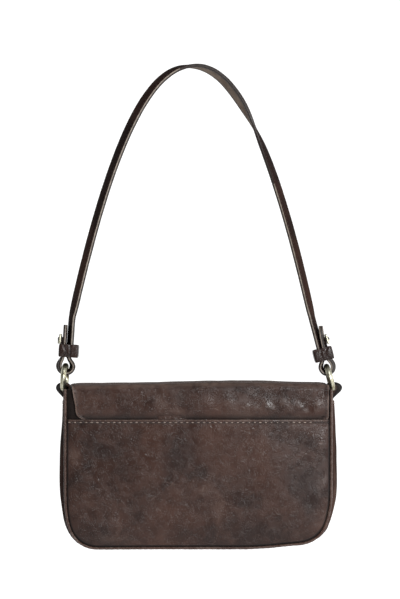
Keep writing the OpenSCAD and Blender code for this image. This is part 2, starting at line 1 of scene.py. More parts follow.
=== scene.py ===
"""Dresses the baguette bag: its leather shells, piping, stitching, lining, strap, rings and studio."""

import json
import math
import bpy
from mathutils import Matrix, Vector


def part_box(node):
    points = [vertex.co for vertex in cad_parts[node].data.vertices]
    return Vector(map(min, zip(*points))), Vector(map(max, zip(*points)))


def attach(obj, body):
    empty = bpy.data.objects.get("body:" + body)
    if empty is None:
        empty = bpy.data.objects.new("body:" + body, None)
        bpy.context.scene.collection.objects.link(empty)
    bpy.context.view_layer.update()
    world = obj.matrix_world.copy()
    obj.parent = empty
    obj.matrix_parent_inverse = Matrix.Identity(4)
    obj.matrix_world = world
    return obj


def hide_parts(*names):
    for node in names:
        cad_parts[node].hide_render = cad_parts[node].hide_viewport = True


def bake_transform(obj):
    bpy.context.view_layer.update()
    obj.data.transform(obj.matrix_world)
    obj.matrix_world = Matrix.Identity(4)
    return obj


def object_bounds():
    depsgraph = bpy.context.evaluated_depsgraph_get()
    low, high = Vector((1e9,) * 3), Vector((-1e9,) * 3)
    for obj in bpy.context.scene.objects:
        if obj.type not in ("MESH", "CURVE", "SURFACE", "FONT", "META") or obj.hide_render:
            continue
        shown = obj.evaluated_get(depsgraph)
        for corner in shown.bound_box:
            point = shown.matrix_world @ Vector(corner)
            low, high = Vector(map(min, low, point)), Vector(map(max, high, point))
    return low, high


bl_info = {
    "name": "Baguette Bag",
    "version": (1, 0, 0),
    "blender": (4, 5, 0),
    "location": "View3D > Sidebar > Bag",
    "description": "Builds the leather, stitching, lining, strap and hardware of a flap-over shoulder bag",
    "category": "Add Mesh",
}

import bmesh
import bpy
import numpy as np
from mathutils import Matrix, Vector, noise

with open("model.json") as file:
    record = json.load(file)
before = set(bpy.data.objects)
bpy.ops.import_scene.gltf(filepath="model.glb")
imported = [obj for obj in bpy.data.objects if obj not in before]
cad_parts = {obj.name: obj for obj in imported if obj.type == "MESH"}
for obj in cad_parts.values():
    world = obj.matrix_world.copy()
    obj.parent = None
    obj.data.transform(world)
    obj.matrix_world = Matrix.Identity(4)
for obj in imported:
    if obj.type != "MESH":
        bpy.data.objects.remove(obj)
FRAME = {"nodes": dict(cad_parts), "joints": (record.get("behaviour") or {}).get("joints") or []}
CAD_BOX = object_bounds()
MM = 0.001
BACK = -1
FRONT = 1
LEFT = -1
RIGHT = 1
SIDES = {LEFT: "left", RIGHT: "right"}


def corners(node):
    """Lowest and highest corner of a node as arrays."""
    low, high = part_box(node)
    return np.array(low), np.array(high)


# Places and sizes read from the frame
PANEL_LOW, PANEL_HIGH = corners("back_panel")
FRONT_HIGH = corners("front_panel")[1]
POCKET_LOW, POCKET_HIGH = corners("back_pocket_panel")
GUSSET_LOW, GUSSET_HIGH = corners("gusset")
PIPING_LOW, PIPING_HIGH = corners("piping_back")
YOKE_LOW, YOKE_HIGH = corners("flap_yoke")
FLAP_LOW, FLAP_HIGH = corners("flap_outer")
FLAP_LINING_HIGH = corners("flap_lining")[1]
LINING_GUSSET_LOW, LINING_GUSSET_HIGH = corners("lining_gusset")
INNER_POCKET_LOW, INNER_POCKET_HIGH = corners("inner_pocket")
MIDDLE_X = (PANEL_LOW[0] + PANEL_HIGH[0]) / 2
PANEL_HALF = (PANEL_HIGH[0] - PANEL_LOW[0]) / 2
SEAM_BASE = PANEL_LOW[2]
CORNER_R = 28 * MM
PLY = POCKET_HIGH[1] - POCKET_LOW[1]
PIPING_R = (PIPING_HIGH[1] - PIPING_LOW[1]) / 2
PIPING_Y = -(PIPING_HIGH[1] + PIPING_LOW[1]) / 2
SEAM_OUT = (PIPING_HIGH[0] - PIPING_LOW[0]) / 2 - PANEL_HALF - PIPING_R
JOINTS = {joint["name"]: joint for joint in FRAME["joints"]}


def srgb(red, green, blue):
    """A linear colour with full alpha, from screen values of 0 to 255."""
    shares = [c / 255 for c in (red, green, blue)]
    linear = [c / 12.92 if c <= 0.04045 else ((c + 0.055) / 1.055) ** 2.4 for c in shares]
    return (*linear, 1.0)


def length_property(name, description, default):
    """A length in metres that the panel shows with its unit."""
    return bpy.props.FloatProperty(
        name=name, description=description, default=default, min=0, unit="LENGTH", precision=5
    )


def colour_property(name, description, default):
    """A colour that the panel shows as a swatch."""
    return bpy.props.FloatVectorProperty(
        name=name, description=description, default=default, size=4, subtype="COLOR", min=0, max=1
    )


class BagShape(bpy.types.PropertyGroup):
    """How far the soft shells stand away from flat."""

    mesh_step: length_property("Mesh Step", "Distance between the shells' points", 2.4 * MM)
    puff: length_property("Puff", "How far a panel stands out between its seams", 1.9 * MM)
    roll: length_property("Roll", "Distance from a seam over which a panel rounds off", 6 * MM)
    sag: length_property("Sag", "Depth of the broad waves in the leather", 0.9 * MM)
    crease: length_property("Crease", "Depth of the small creases", 0.35 * MM)
    pucker: length_property("Pucker", "Depth of the gathers along the seams", 0.35 * MM)
    groove: length_property("Groove", "Depth that a row of stitches pulls in", 0.35 * MM)
    corner_lift: length_property("Corner Lift", "Rise of the body's lower right corner", 4.7 * MM)
    waist: length_property("Waist", "Distance that the sides draw in above the lower corners", 2.0 * MM)
    crown_left: length_property("Crown Left", "Fall of the flap's top to its left corner", 2.4 * MM)
    crown_right: length_property("Crown Right", "Fall of the flap's top to its right corner", 1.5 * MM)


class BagStitching(bpy.types.PropertyGroup):
    """Rows of stitches."""

    pitch: length_property("Pitch", "Distance from stitch to stitch on the body", 5.2 * MM)
    thread: length_property("Thread", "Radius of the body's thread", 0.5 * MM)
    strap_pitch: length_property("Strap Pitch", "Distance from stitch to stitch on the strap", 3.4 * MM)
    strap_thread: length_property("Strap Thread", "Radius of the strap's thread", 0.26 * MM)
    inset: length_property("Inset", "Distance from an edge to its row of stitches", 3.0 * MM)


class BagColours(bpy.types.PropertyGroup):
    """Colours of the leather, lining and metal."""

    leather_dark: colour_property("Leather Dark", "Oiled leather", srgb(33, 21, 18))
    leather_mid: colour_property("Leather Middle", "Body of the leather", srgb(55, 37, 31))
    leather_warm: colour_property("Leather Warm", "Redder patches", srgb(66, 42, 33))
    leather_pale: colour_property("Leather Pale", "Rubbed and pulled-up leather", srgb(98, 82, 74))
    edge_paint: colour_property("Edge Paint", "Painted cut edges", srgb(40, 32, 29))
    # Pale raw edge of the strap's outer ply, partly its burnished edge and partly a painted highlight
    raw_edge: colour_property("Raw Edge", "Strap's burnished cut edge", srgb(128, 118, 108))
    underside: colour_property("Underside", "Strap's taupe underside", srgb(116, 104, 94))
    brass: colour_property("Brass", "Pale antique brass", srgb(186, 184, 164))
    tarnish: colour_property("Tarnish", "Brass that has dulled", srgb(120, 113, 88))
    lining: colour_property("Lining", "Lining twill", srgb(84, 72, 66))
    thread: colour_property("Thread", "Body's pale thread", srgb(138, 122, 112))
    dark_thread: colour_property("Dark Thread", "Strap's thread", srgb(44, 35, 31))
    board: colour_property("Board", "Stiffening board", srgb(160, 156, 146))


class BagStage(bpy.types.PropertyGroup):
    """Camera, lights and floor."""

    distance: length_property("Camera Distance", "From the camera to the strap", 2.4)
    view_height: length_property("View Height", "Height that the picture covers at the strap", 0.566)
    centre_x: bpy.props.FloatProperty(
        name="Centre X", description="Middle of the picture", default=7.6 * MM, unit="LENGTH"
    )
    centre_z: bpy.props.FloatProperty(
        name="Centre Z", description="Middle of the picture", default=-218.8 * MM, unit="LENGTH"
    )
    floor_drop: length_property("Floor Drop", "How far the floor lies below the bag", 0.22)


GROUPS = {
    "bag_shape": BagShape,
    "bag_stitching": BagStitching,
    "bag_colours": BagColours,
    "bag_stage": BagStage,
}


# Meshes


def ripple(points, size, seed):
    """Smooth noise from about -1 to 1 at each point, with bumps of the given size."""
    shift = Vector((seed * 17.3, seed * 5.1, seed * 9.7))
    sizes = np.broadcast_to(np.asarray(size, float), (3,))
    flat = np.asarray(points, float).reshape(-1, 3) / sizes
    values = np.array([noise.noise(Vector(p) + shift) for p in flat])
    return values.reshape(np.shape(points)[:-1])


def fade(distance, reach):
    """1 at no distance, falling to 0 well past the reach."""
    return np.exp(-((np.asarray(distance) / reach) ** 2))


def smooth(share):
    """A smooth step from 0 to 1."""
    share = np.clip(share, 0, 1)
    return share * share * (3 - 2 * share)


def unit(vectors):
    """Vectors of length 1."""
    return vectors / np.maximum(np.linalg.norm(vectors, axis=-1, keepdims=True), 1e-12)


def lengths(points, axis):
    """Running length along one axis of a grid, averaged over the other."""
    steps = np.linalg.norm(np.diff(points, axis=axis), axis=-1).mean(axis=1 - axis)
    return np.concatenate([[0], np.cumsum(steps)])


def new_object(name, mesh, materials):
    """An object at the origin that shows a mesh in the materials given."""
    for look in materials:
        mesh.materials.append(look)
    obj = bpy.data.objects.new(name, mesh)
    bpy.context.scene.collection.objects.link(obj)
    return obj


def grid_object(name, grid, materials, ring=False, capped=False, wear=None):
    """A mesh from rows of points, with a UV map in metres, and its rubbed places, painted highlights and
    painted shade as one attribute.
    """
    rows, cols = grid.shape[:2]
    spans = cols if ring else cols - 1
    row, col = np.meshgrid(np.arange(rows - 1), np.arange(spans), indexing="ij")
    after = (col + 1) % cols
    faces = np.stack(
        [row * cols + col, row * cols + after, (row + 1) * cols + after, (row + 1) * cols + col], -1
    ).reshape(-1, 4).tolist()
    mesh = bpy.data.meshes.new(name)
    if capped:
        faces.append(list(range(cols))[::-1])
        faces.append([(rows - 1) * cols + k for k in range(cols)])
    mesh.from_pydata(grid.reshape(-1, 3).tolist(), [], faces)
    down, over = lengths(grid, 0), lengths(grid, 1)
    uv_map = mesh.uv_layers.new(name="UVMap")
    corner = np.zeros(len(mesh.loops), int)
    mesh.loops.foreach_get("vertex_index", corner)
    uv_map.data.foreach_set("uv", np.stack([over[corner % cols], down[corner // cols]], -1).ravel())
    add_mask(mesh, "wear", np.zeros(rows * cols) if wear is None else wear.ravel())
    mesh.update()
    obj = new_object(name, mesh, materials)
    shade(obj)
    return obj


def add_mask(mesh, name, values):
    """Stores one number for each point of a mesh."""
    mask = mesh.attributes.get(name) or mesh.attributes.new(name, "FLOAT", "POINT")
    mask.data.foreach_set("value", np.asarray(values, np.float32))


def shade(obj, angle=50):
    """Smooth shading, with edges kept sharp past an angle in degrees."""
    obj.data.shade_smooth()
    obj.data.set_sharp_from_angle(angle=math.radians(angle))


def bake(obj):
    """Turns what an object's modifiers make of it into its plain mesh."""
    graph = bpy.context.evaluated_depsgraph_get()
    made = obj.evaluated_get(graph)
    mesh = bpy.data.meshes.new_from_object(made, preserve_all_data_layers=True, depsgraph=graph)
    mesh.name = obj.name
    obj.modifiers.clear()
    obj.data = mesh
    return obj


def thicken(obj, thickness, rounding=0.3, rim=0):
    """Gives a sheet its thickness behind its face, with rounded edges in another material slot."""
    solid = obj.modifiers.new("Thickness", "SOLIDIFY")
    solid.thickness = thickness
    solid.offset = -1
    solid.use_even_offset = True
    solid.material_offset_rim = rim
    round_off = obj.modifiers.new("Rounding", "BEVEL")
    round_off.width = thickness * rounding
    round_off.segments = 2
    round_off.limit_method = "ANGLE"
    round_off.angle_limit = math.radians(60)
    bake(obj)
    shade(obj)
    return obj


def place(obj, body, slot_name, *nodes):
    """Lets a finished piece ride on its body and stand for the nodes it replaces."""
    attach(obj, body)
    if nodes:
        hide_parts(*nodes)
    return obj


# Node trees

# Gloss of the leather, as the level of its specular reflection
OILED = 0.22
DULLED = 0.03


def add_node(tree, kind, inputs=None, **settings):
    """Adds a node and fills its inputs with values or with other nodes' outputs."""
    node = tree.nodes.new(kind)
    for name, value in settings.items():
        setattr(node, name, value)
    for key, value in (inputs or {}).items():
        if isinstance(value, bpy.types.NodeSocket):
            tree.links.new(value, node.inputs[key])
        else:
            node.inputs[key].default_value = value
    return node


def new_group(name, kind, inputs, outputs):
    """A node group with named sockets, and its input and output nodes."""
    tree = bpy.data.node_groups.new(name, kind)
    for socket_name, socket_type, default in inputs:
        socket = tree.interface.new_socket(name=socket_name, in_out="INPUT", socket_type=socket_type)
        if default is not None:
            socket.default_value = default
    for socket_name, socket_type in outputs:
        tree.interface.new_socket(name=socket_name, in_out="OUTPUT", socket_type=socket_type)
    return tree, tree.nodes.new("NodeGroupInput").outputs, tree.nodes.new("NodeGroupOutput").inputs


def calculate(tree, operation, first, second=0.0, clamp=False):
    """The output of a Math node."""
    inputs = {0: first, 1: second}
    return add_node(tree, "ShaderNodeMath", inputs, operation=operation, use_clamp=clamp).outputs[0]


def plus(tree, first, second, clamp=False):
    """The output of a Math node that adds."""
    return calculate(tree, "ADD", first, second, clamp)


def times(tree, first, second, clamp=False):
    """The output of a Math node that multiplies."""
    return calculate(tree, "MULTIPLY", first, second, clamp)


def equal_parts(tree, value):
    """A vector, or a grey, with the same value three times."""
    return add_node(tree, "ShaderNodeCombineXYZ", {0: value, 1: value, 2: value}).outputs[0]


def mix_colours(tree, share, first, second, blend_type="MIX"):
    """The output of a colour Mix node."""
    inputs = {0: share, 6: first, 7: second}
    return add_node(tree, "ShaderNodeMix", inputs, data_type="RGBA", blend_type=blend_type).outputs[2]


def spread(tree, value, low, high, to_low=0.0, to_high=1.0):
    """A value remapped smoothly from one range to another."""
    inputs = {0: value, 1: low, 2: high, 3: to_low, 4: to_high}
    return add_node(tree, "ShaderNodeMapRange", inputs, interpolation_type="SMOOTHSTEP").outputs[0]


def noise_value(tree, vector, scale, detail=3.0, roughness=0.55, distortion=0.0):
    """The output of a Noise Texture node."""
    inputs = {"Vector": vector, "Scale": scale, "Detail": detail, "Roughness": roughness}
    inputs["Distortion"] = distortion
    return add_node(tree, "ShaderNodeTexNoise", inputs).outputs[0]


def turned_vector(tree, vector, turn, stretch):
    """Coordinates turned by angles in degrees and then stretched."""
    radians = [math.radians(a) for a in turn]
    first = add_node(tree, "ShaderNodeMapping", {"Vector": vector, "Rotation": radians})
    return add_node(tree, "ShaderNodeMapping", {"Vector": first.outputs[0], "Scale": stretch}).outputs[0]


def scratch_mask(tree, vector, turn, density):
    """Thin broken lines that run about one way."""
    stretched = turned_vector(tree, vector, turn, (10, 10, 0.9))
    bent = noise_value(tree, vector, 30, 2)
    offset = equal_parts(tree, times(tree, bent, 0.06))
    wavy = add_node(tree, "ShaderNodeVectorMath", {0: stretched, 1: offset}, operation="ADD").outputs[0]
    cells = add_node(
        tree, "ShaderNodeTexVoronoi", {"Vector": wavy, "Scale": density}, feature="DISTANCE_TO_EDGE"
    ).outputs[0]
    lines = spread(tree, cells, 0.0, 0.014, 1.0, 0.0)
    broken = spread(tree, noise_value(tree, vector, 60, 2), 0.58, 0.7)
    return times(tree, lines, broken)


def pull_up_group():
    """Colour and roughness of oiled pull-up leather, mottled, rubbed pale where it bends, paler where
    highlights are painted and darker where shade is painted.
    """
    tree, given, result = new_group(
        "Pull-up Leather",
        "ShaderNodeTree",
        [
            ("Vector", "NodeSocketVector", None),
            ("Dark", "NodeSocketColor", (0.02, 0.01, 0.01, 1)),
            ("Middle", "NodeSocketColor", (0.06, 0.04, 0.03, 1)),
            ("Pale", "NodeSocketColor", (0.2, 0.15, 0.12, 1)),
            ("Warm", "NodeSocketColor", (0.06, 0.03, 0.015, 1)),
            ("Patch Scale", "NodeSocketFloat", 26.0),
            ("Wear", "NodeSocketFloat", 0.0),
            ("Scratches", "NodeSocketFloat", 0.6),
        ],
        [
            ("Color", "NodeSocketColor"),
            ("Roughness", "NodeSocketFloat"),
            ("Scuffs", "NodeSocketFloat"),
            ("Clean", "NodeSocketFloat"),
        ],
    )
    vector = given["Vector"]
    patches = noise_value(tree, vector, given["Patch Scale"], 6, 0.62, 0.5)
    fine_scale = times(tree, given["Patch Scale"], 5.0)
    blotches = noise_value(tree, vector, fine_scale, 4, 0.6, 0.3)
    specks = noise_value(tree, vector, 1400.0, 2, 0.6)
    mottling = spread(tree, blotches, 0.3, 0.75, -0.25, 0.25)
    tone = plus(tree, spread(tree, patches, 0.32, 0.68), mottling)
    base = mix_colours(tree, times(tree, tone, 1.0, True), given["Dark"], given["Middle"])
    warm = spread(tree, noise_value(tree, vector, 17.0, 3, 0.5, 0.3), 0.45, 0.7)
    base = mix_colours(tree, times(tree, warm, 0.45), base, given["Warm"])
    pulled = spread(tree, patches, 0.56, 0.78, 0.0, 0.28)
    # Above nought the mask makes the leather paler: rubbing, and painted highlights.
    rubbing_and_painted_highlight = calculate(tree, "MAXIMUM", given["Wear"], 0.0)
    rubbing_and_painted_light = times(tree, spread(tree, blotches, 0.35, 0.6, 0.45, 1.0), rubbing_and_painted_highlight)
    steep = scratch_mask(tree, vector, (12, 74, 20), 4.0)
    flat = scratch_mask(tree, vector, (-25, 118, 8), 5.0)
    lines = plus(tree, steep, flat, True)
    scuffs = times(tree, lines, given["Scratches"])
    pale = plus(tree, plus(tree, pulled, rubbing_and_painted_light), times(tree, scuffs, 0.55), True)
    toned = mix_colours(tree, pale, base, given["Pale"])
    speckled = mix_colours(tree, spread(tree, specks, 0.5, 0.75, 0.0, 0.16), toned, given["Pale"])
    # Below nought the mask darkens the colour: painted shade.
    painted_shade_factor = spread(tree, given["Wear"], -1.0, 0.0, 0.12, 1.0)
    painted_shade = equal_parts(tree, painted_shade_factor)
    tree.links.new(mix_colours(tree, 1.0, speckled, painted_shade, "MULTIPLY"), result["Color"])
    gloss = spread(tree, blotches, 0.3, 0.7, 0.2, 0.33)
    roughness = plus(tree, gloss, times(tree, pale, 0.12))
    tree.links.new(roughness, result["Roughness"])
    tree.links.new(scuffs, result["Scuffs"])
    tree.links.new(painted_shade_factor, result["Clean"])
    return tree


def grain_group():
    """Height of leather's pores, fine wrinkles and softer creases."""
    tree, given, result = new_group(
        "Leather Grain",
        "ShaderNodeTree",
        [
            ("Vector", "NodeSocketVector", None),
            ("Pore Scale", "NodeSocketFloat", 1100.0),
            ("Crease Scale", "NodeSocketFloat", 130.0),
            ("Scuffs", "NodeSocketFloat", 0.0),
        ],
        [("Height", "NodeSocketFloat")],
    )
    vector = given["Vector"]
    pores = add_node(
        tree, "ShaderNodeTexVoronoi", {"Vector": vector, "Scale": given["Pore Scale"]}, feature="F1"
    ).outputs[0]
    creased = noise_value(tree, vector, given["Crease Scale"], 5, 0.65, 1.2)
    ridges = calculate(tree, "ABSOLUTE", calculate(tree, "SUBTRACT", creased, 0.5))
    folds = spread(tree, ridges, 0.0, 0.05, -1.0, 0.0)
    soft = noise_value(tree, vector, 48.0, 3, 0.5, 0.4)
    height = times(tree, pores, 0.22)
    height = plus(tree, height, times(tree, folds, 0.30))
    height = plus(tree, height, times(tree, soft, 1.1))
    height = calculate(tree, "SUBTRACT", height, times(tree, given["Scuffs"], 0.5))
    tree.links.new(height, result["Height"])
    return tree


def twill_group():
    """Colour share and height of a diagonal twill weave, in the surface's own metres."""
    tree, given, result = new_group(
        "Twill Weave",
        "ShaderNodeTree",
        [("Vector", "NodeSocketVector", None), ("Threads", "NodeSocketFloat", 1500.0)],
        [("Shade", "NodeSocketFloat"), ("Height", "NodeSocketFloat")],
    )
    parts = add_node(tree, "ShaderNodeSeparateXYZ", {0: given["Vector"]}).outputs
    along = plus(tree, parts[0], parts[1])
    diagonal = calculate(tree, "SINE", times(tree, along, given["Threads"]))
    across = calculate(tree, "SINE", times(tree, parts[0], times(tree, given["Threads"], 2.0)))
    weave = plus(tree, times(tree, diagonal, 0.7), times(tree, across, 0.3))
    tree.links.new(spread(tree, weave, -1.0, 1.0), result["Shade"])
    tree.links.new(weave, result["Height"])
    return tree


def tarnish_group():
    """Share of dulled metal, its roughness and the low dents of a cast and tumbled surface."""
    tree, given, result = new_group(
        "Tarnish",
        "ShaderNodeTree",
        [("Vector", "NodeSocketVector", None), ("Scale", "NodeSocketFloat", 260.0)],
        [("Share", "NodeSocketFloat"), ("Roughness", "NodeSocketFloat"), ("Height", "NodeSocketFloat")],
    )
    clouds = noise_value(tree, given["Vector"], given["Scale"], 4, 0.6, 0.4)
    fine = noise_value(tree, given["Vector"], times(tree, given["Scale"], 6.0), 3)
    tree.links.new(spread(tree, clouds, 0.42, 0.72), result["Share"])
    tree.links.new(spread(tree, fine, 0.3, 0.75, 0.26, 0.42), result["Roughness"])
    tree.links.new(plus(tree, clouds, times(tree, fine, 0.2)), result["Height"])
    return tree


def group(name):
    """A shared node group, built when it is first asked for."""
    makers = {
        "Pull-up Leather": pull_up_group,
        "Leather Grain": grain_group,
        "Twill Weave": twill_group,
        "Tarnish": tarnish_group,
    }
    return bpy.data.node_groups.get(name) or makers[name]()


def darkened(colour, share):
    """A colour at a share of its brightness."""
    return (*(c * share for c in colour[:3]), 1.0)


def new_material(name, coordinates="Object"):
    """A node material with its tree, its Principled shader and the coordinates that it reads."""
    made = bpy.data.materials.new(name)
    made.use_nodes = True
    tree = made.node_tree
    tree.nodes.clear()
    shader = tree.nodes.new("ShaderNodeBsdfPrincipled")
    output = tree.nodes.new("ShaderNodeOutputMaterial")
    tree.links.new(shader.outputs[0], output.inputs["Surface"])
    vector = add_node(tree, "ShaderNodeTexCoord").outputs[coordinates]
    return made, tree, shader, vector


def use_group(tree, name, inputs):
    """Places a shared group in a material."""
    return add_node(tree, "ShaderNodeGroup", inputs, node_tree=group(name)).outputs


def add_bump(tree, shader, height, distance, strength=1.0):
    """Feeds a height to the shader's normal."""
    bump = add_node(tree, "ShaderNodeBump", {"Strength": strength, "Distance": distance, "Height": height})
    tree.links.new(bump.outputs[0], shader.inputs["Normal"])


def leather_material(
    name, tones, gloss, patch_scale=26.0, crease_scale=130.0, scratches=0.6, relief=0.25 * MM
):
    """Oiled leather in three tones, matt where it is dull and where shade is painted on it, and pale where it
    is rubbed and where highlights are painted on it.
    """
    made, tree, shader, vector = new_material(name)
    # The mask holds rubbing, painted highlights and painted shade.
    wear = add_node(tree, "ShaderNodeAttribute", attribute_name="wear").outputs["Fac"]
    skin = use_group(
        tree,
        "Pull-up Leather",
        {
            "Vector": vector,
            "Dark": tones[0],
            "Middle": tones[1],
            "Pale": tones[2],
            "Warm": tuple(bpy.context.scene.bag_colours.leather_warm),
            "Patch Scale": patch_scale,
            "Wear": wear,
            "Scratches": scratches,
        },
    )
    tree.links.new(skin["Color"], shader.inputs["Base Color"])
    grain = use_group(
        tree, "Leather Grain", {"Vector": vector, "Crease Scale": crease_scale, "Scuffs": skin["Scuffs"]}
    )
    add_bump(tree, shader, grain["Height"], relief)
    dull = add_node(tree, "ShaderNodeAttribute", attribute_name="dull").outputs["Fac"]
    # Matt where the surface is dull and where shade is painted.
    matt = calculate(tree, "MAXIMUM", dull, calculate(tree, "SUBTRACT", 1.0, skin["Clean"]))
    rougher = times(tree, matt, 0.7)
    tree.links.new(plus(tree, skin["Roughness"], rougher, True), shader.inputs["Roughness"])
    shader.inputs["Specular IOR Level"].default_value = gloss
    return made


def paint_material(name, colour):
    """Edge paint, a little uneven."""
    made, tree, shader, vector = new_material(name)
    beads = noise_value(tree, vector, 420.0, 3)
    uneven = mix_colours(tree, spread(tree, beads, 0.35, 0.65), darkened(colour, 0.6), colour)
    tree.links.new(uneven, shader.inputs["Base Color"])
    tree.links.new(spread(tree, beads, 0.3, 0.7, 0.34, 0.5), shader.inputs["Roughness"])
    shader.inputs["Specular IOR Level"].default_value = 0.25
    add_bump(tree, shader, beads, 0.12 * MM)
    return made


def twill_material(name, colour):
    """Cotton twill that follows the cloth."""
    made, tree, shader, vector = new_material(name, "UV")
    weave = use_group(tree, "Twill Weave", {"Vector": vector})
    woven = mix_colours(tree, weave["Shade"], darkened(colour, 0.55), colour)
    tree.links.new(woven, shader.inputs["Base Color"])
    shader.inputs["Roughness"].default_value = 0.85
    shader.inputs["Sheen Weight"].default_value = 0.15
    add_bump(tree, shader, weave["Height"], 0.08 * MM)
    return made


def brass_material(name, colour, tarnish):
    """Pale antique brass, dulled in clouds."""
    made, tree, shader, vector = new_material(name)
    dull = use_group(tree, "Tarnish", {"Vector": vector})
    tree.links.new(mix_colours(tree, dull["Share"], colour, tarnish), shader.inputs["Base Color"])
    tree.links.new(dull["Roughness"], shader.inputs["Roughness"])
    shader.inputs["Metallic"].default_value = 1.0
    add_bump(tree, shader, dull["Height"], 0.10 * MM, 0.6)
    return made


def thread_material(name, colour):
    """Waxed twisted thread."""
    made, tree, shader, vector = new_material(name)
    twist = noise_value(tree, vector, 900.0, 3)
    twisted = mix_colours(tree, spread(tree, twist, 0.3, 0.7), darkened(colour, 0.6), colour)
    tree.links.new(twisted, shader.inputs["Base Color"])
    shader.inputs["Roughness"].default_value = 0.6
    add_bump(tree, shader, twist, 0.1 * MM)
    return made


def board_material(name, colour):
    """Grey fibre board."""
    made, tree, shader, vector = new_material(name)
    fibres = noise_value(tree, turned_vector(tree, vector, (0, 0, 0), (1, 1, 4)), 500.0, 4)
    tree.links.new(mix_colours(tree, fibres, darkened(colour, 0.7), colour), shader.inputs["Base Color"])
    shader.inputs["Roughness"].default_value = 0.9
    add_bump(tree, shader, fibres, 0.1 * MM)
    return made


def build_material(name):
    """One of the bag's materials, from the scene's colours."""
    chosen = bpy.context.scene.bag_colours
    colours = {key: tuple(getattr(chosen, key)) for key in BagColours.__annotations__}
    body_tones = (colours["leather_dark"], colours["leather_mid"], colours["leather_pale"])
    strap_tones = (darkened(body_tones[0], 0.6), *body_tones[:2])
    # Piping tone lifted paler, a painted highlight along the round cord.
    piping_highlight_tone = tuple(0.6 * middle + 0.4 * pale for middle, pale in zip(*body_tones[1:]))
    under = colours["underside"]
    makers = {
        "Body Leather": lambda: leather_material(name, body_tones, OILED),
        "Gusset Leather": lambda: leather_material(name, body_tones, DULLED),
        "Strap Leather": lambda: leather_material(name, strap_tones, OILED, 40.0, 220.0, 0.4, 0.15 * MM),
        "Strap Face": lambda: leather_material(name, strap_tones, DULLED, 40.0, 220.0, 0.4, 0.15 * MM),
        "Strap Underside": lambda: leather_material(
            name, (darkened(under, 0.62), under, under), DULLED, 80.0, 300.0, 0.2, 0.12 * MM
        ),
        "Piping Leather": lambda: leather_material(
            name, (body_tones[1], piping_highlight_tone, body_tones[2]), OILED, 60.0, 400.0, 0.2, 0.12 * MM
        ),
        "Edge Paint": lambda: paint_material(name, colours["edge_paint"]),
        "Raw Edge": lambda: paint_material(name, colours["raw_edge"]),
        "Antique Brass": lambda: brass_material(name, colours["brass"], colours["tarnish"]),
        "Lining Twill": lambda: twill_material(name, colours["lining"]),
        "Pale Thread": lambda: thread_material(name, colours["thread"]),
        "Dark Thread": lambda: thread_material(name, colours["dark_thread"]),
        "Stiffening Board": lambda: board_material(name, colours["board"]),
    }
    return makers[name]()


def material(name):
    """A shared material, built when it is first asked for."""
    return bpy.data.materials.get(name) or build_material(name)


# Repeats along a path


def make_curve(name, paths):
    """A curve object with one straight-segment spline for each path."""
    curve = bpy.data.curves.new(name, "CURVE")
    curve.dimensions = "3D"
    for path in paths:
        spline = curve.splines.new("POLY")
        spline.points.add(len(path) - 1)
        spline.points.foreach_set("co", np.c_[np.asarray(path), np.ones(len(path))].ravel())
    obj = bpy.data.objects.new(name, curve)
    bpy.context.scene.collection.objects.link(obj)
    return obj


def end_tree(tree, geometry, given, result):
    """Ends a tree with real geometry in the material given."""
    real = add_node(tree, "GeometryNodeRealizeInstances", {"Geometry": geometry}).outputs[0]
    inputs = {"Geometry": real, "Material": given["Material"]}
    coloured = add_node(tree, "GeometryNodeSetMaterial", inputs).outputs[0]
    tree.links.new(coloured, result["Geometry"])


def stitch_tree():
    """Short threads set end to end along a curve."""
    tree, given, result = new_group(
        "Stitch Row",
        "GeometryNodeTree",
        [
            ("Geometry", "NodeSocketGeometry", None),
            ("Pitch", "NodeSocketFloat", 0.005),
            ("Thread Radius", "NodeSocketFloat", 0.0004),
            ("Share", "NodeSocketFloat", 0.7),
            ("Material", "NodeSocketMaterial", None),
        ],
        [("Geometry", "NodeSocketGeometry")],
    )
    along = {"Curve": given["Geometry"], "Length": given["Pitch"]}
    places = add_node(tree, "GeometryNodeCurveToPoints", along, mode="LENGTH").outputs
    ball = {"Segments": 6, "Rings": 6, "Radius": 1.0}
    stitch = add_node(tree, "GeometryNodeMeshUVSphere", ball).outputs["Mesh"]
    radius = given["Thread Radius"]
    half = times(tree, times(tree, given["Pitch"], given["Share"]), 0.5)
    size = add_node(tree, "ShaderNodeCombineXYZ", {0: radius, 1: radius, 2: half}).outputs[0]
    shaped = add_node(tree, "GeometryNodeTransform", {"Geometry": stitch, "Scale": size}).outputs[0]
    limits = {"Min": (0.88, 0.88, 0.9), "Max": (1.1, 1.1, 1.08), "Seed": 7}
    uneven = add_node(tree, "FunctionNodeRandomValue", limits, data_type="FLOAT_VECTOR").outputs[0]
    repeats = {"Points": places["Points"], "Rotation": places["Rotation"]}
    repeats |= {"Instance": shaped, "Scale": uneven}
    rows = add_node(tree, "GeometryNodeInstanceOnPoints", repeats).outputs[0]
    end_tree(tree, rows, given, result)
    return tree


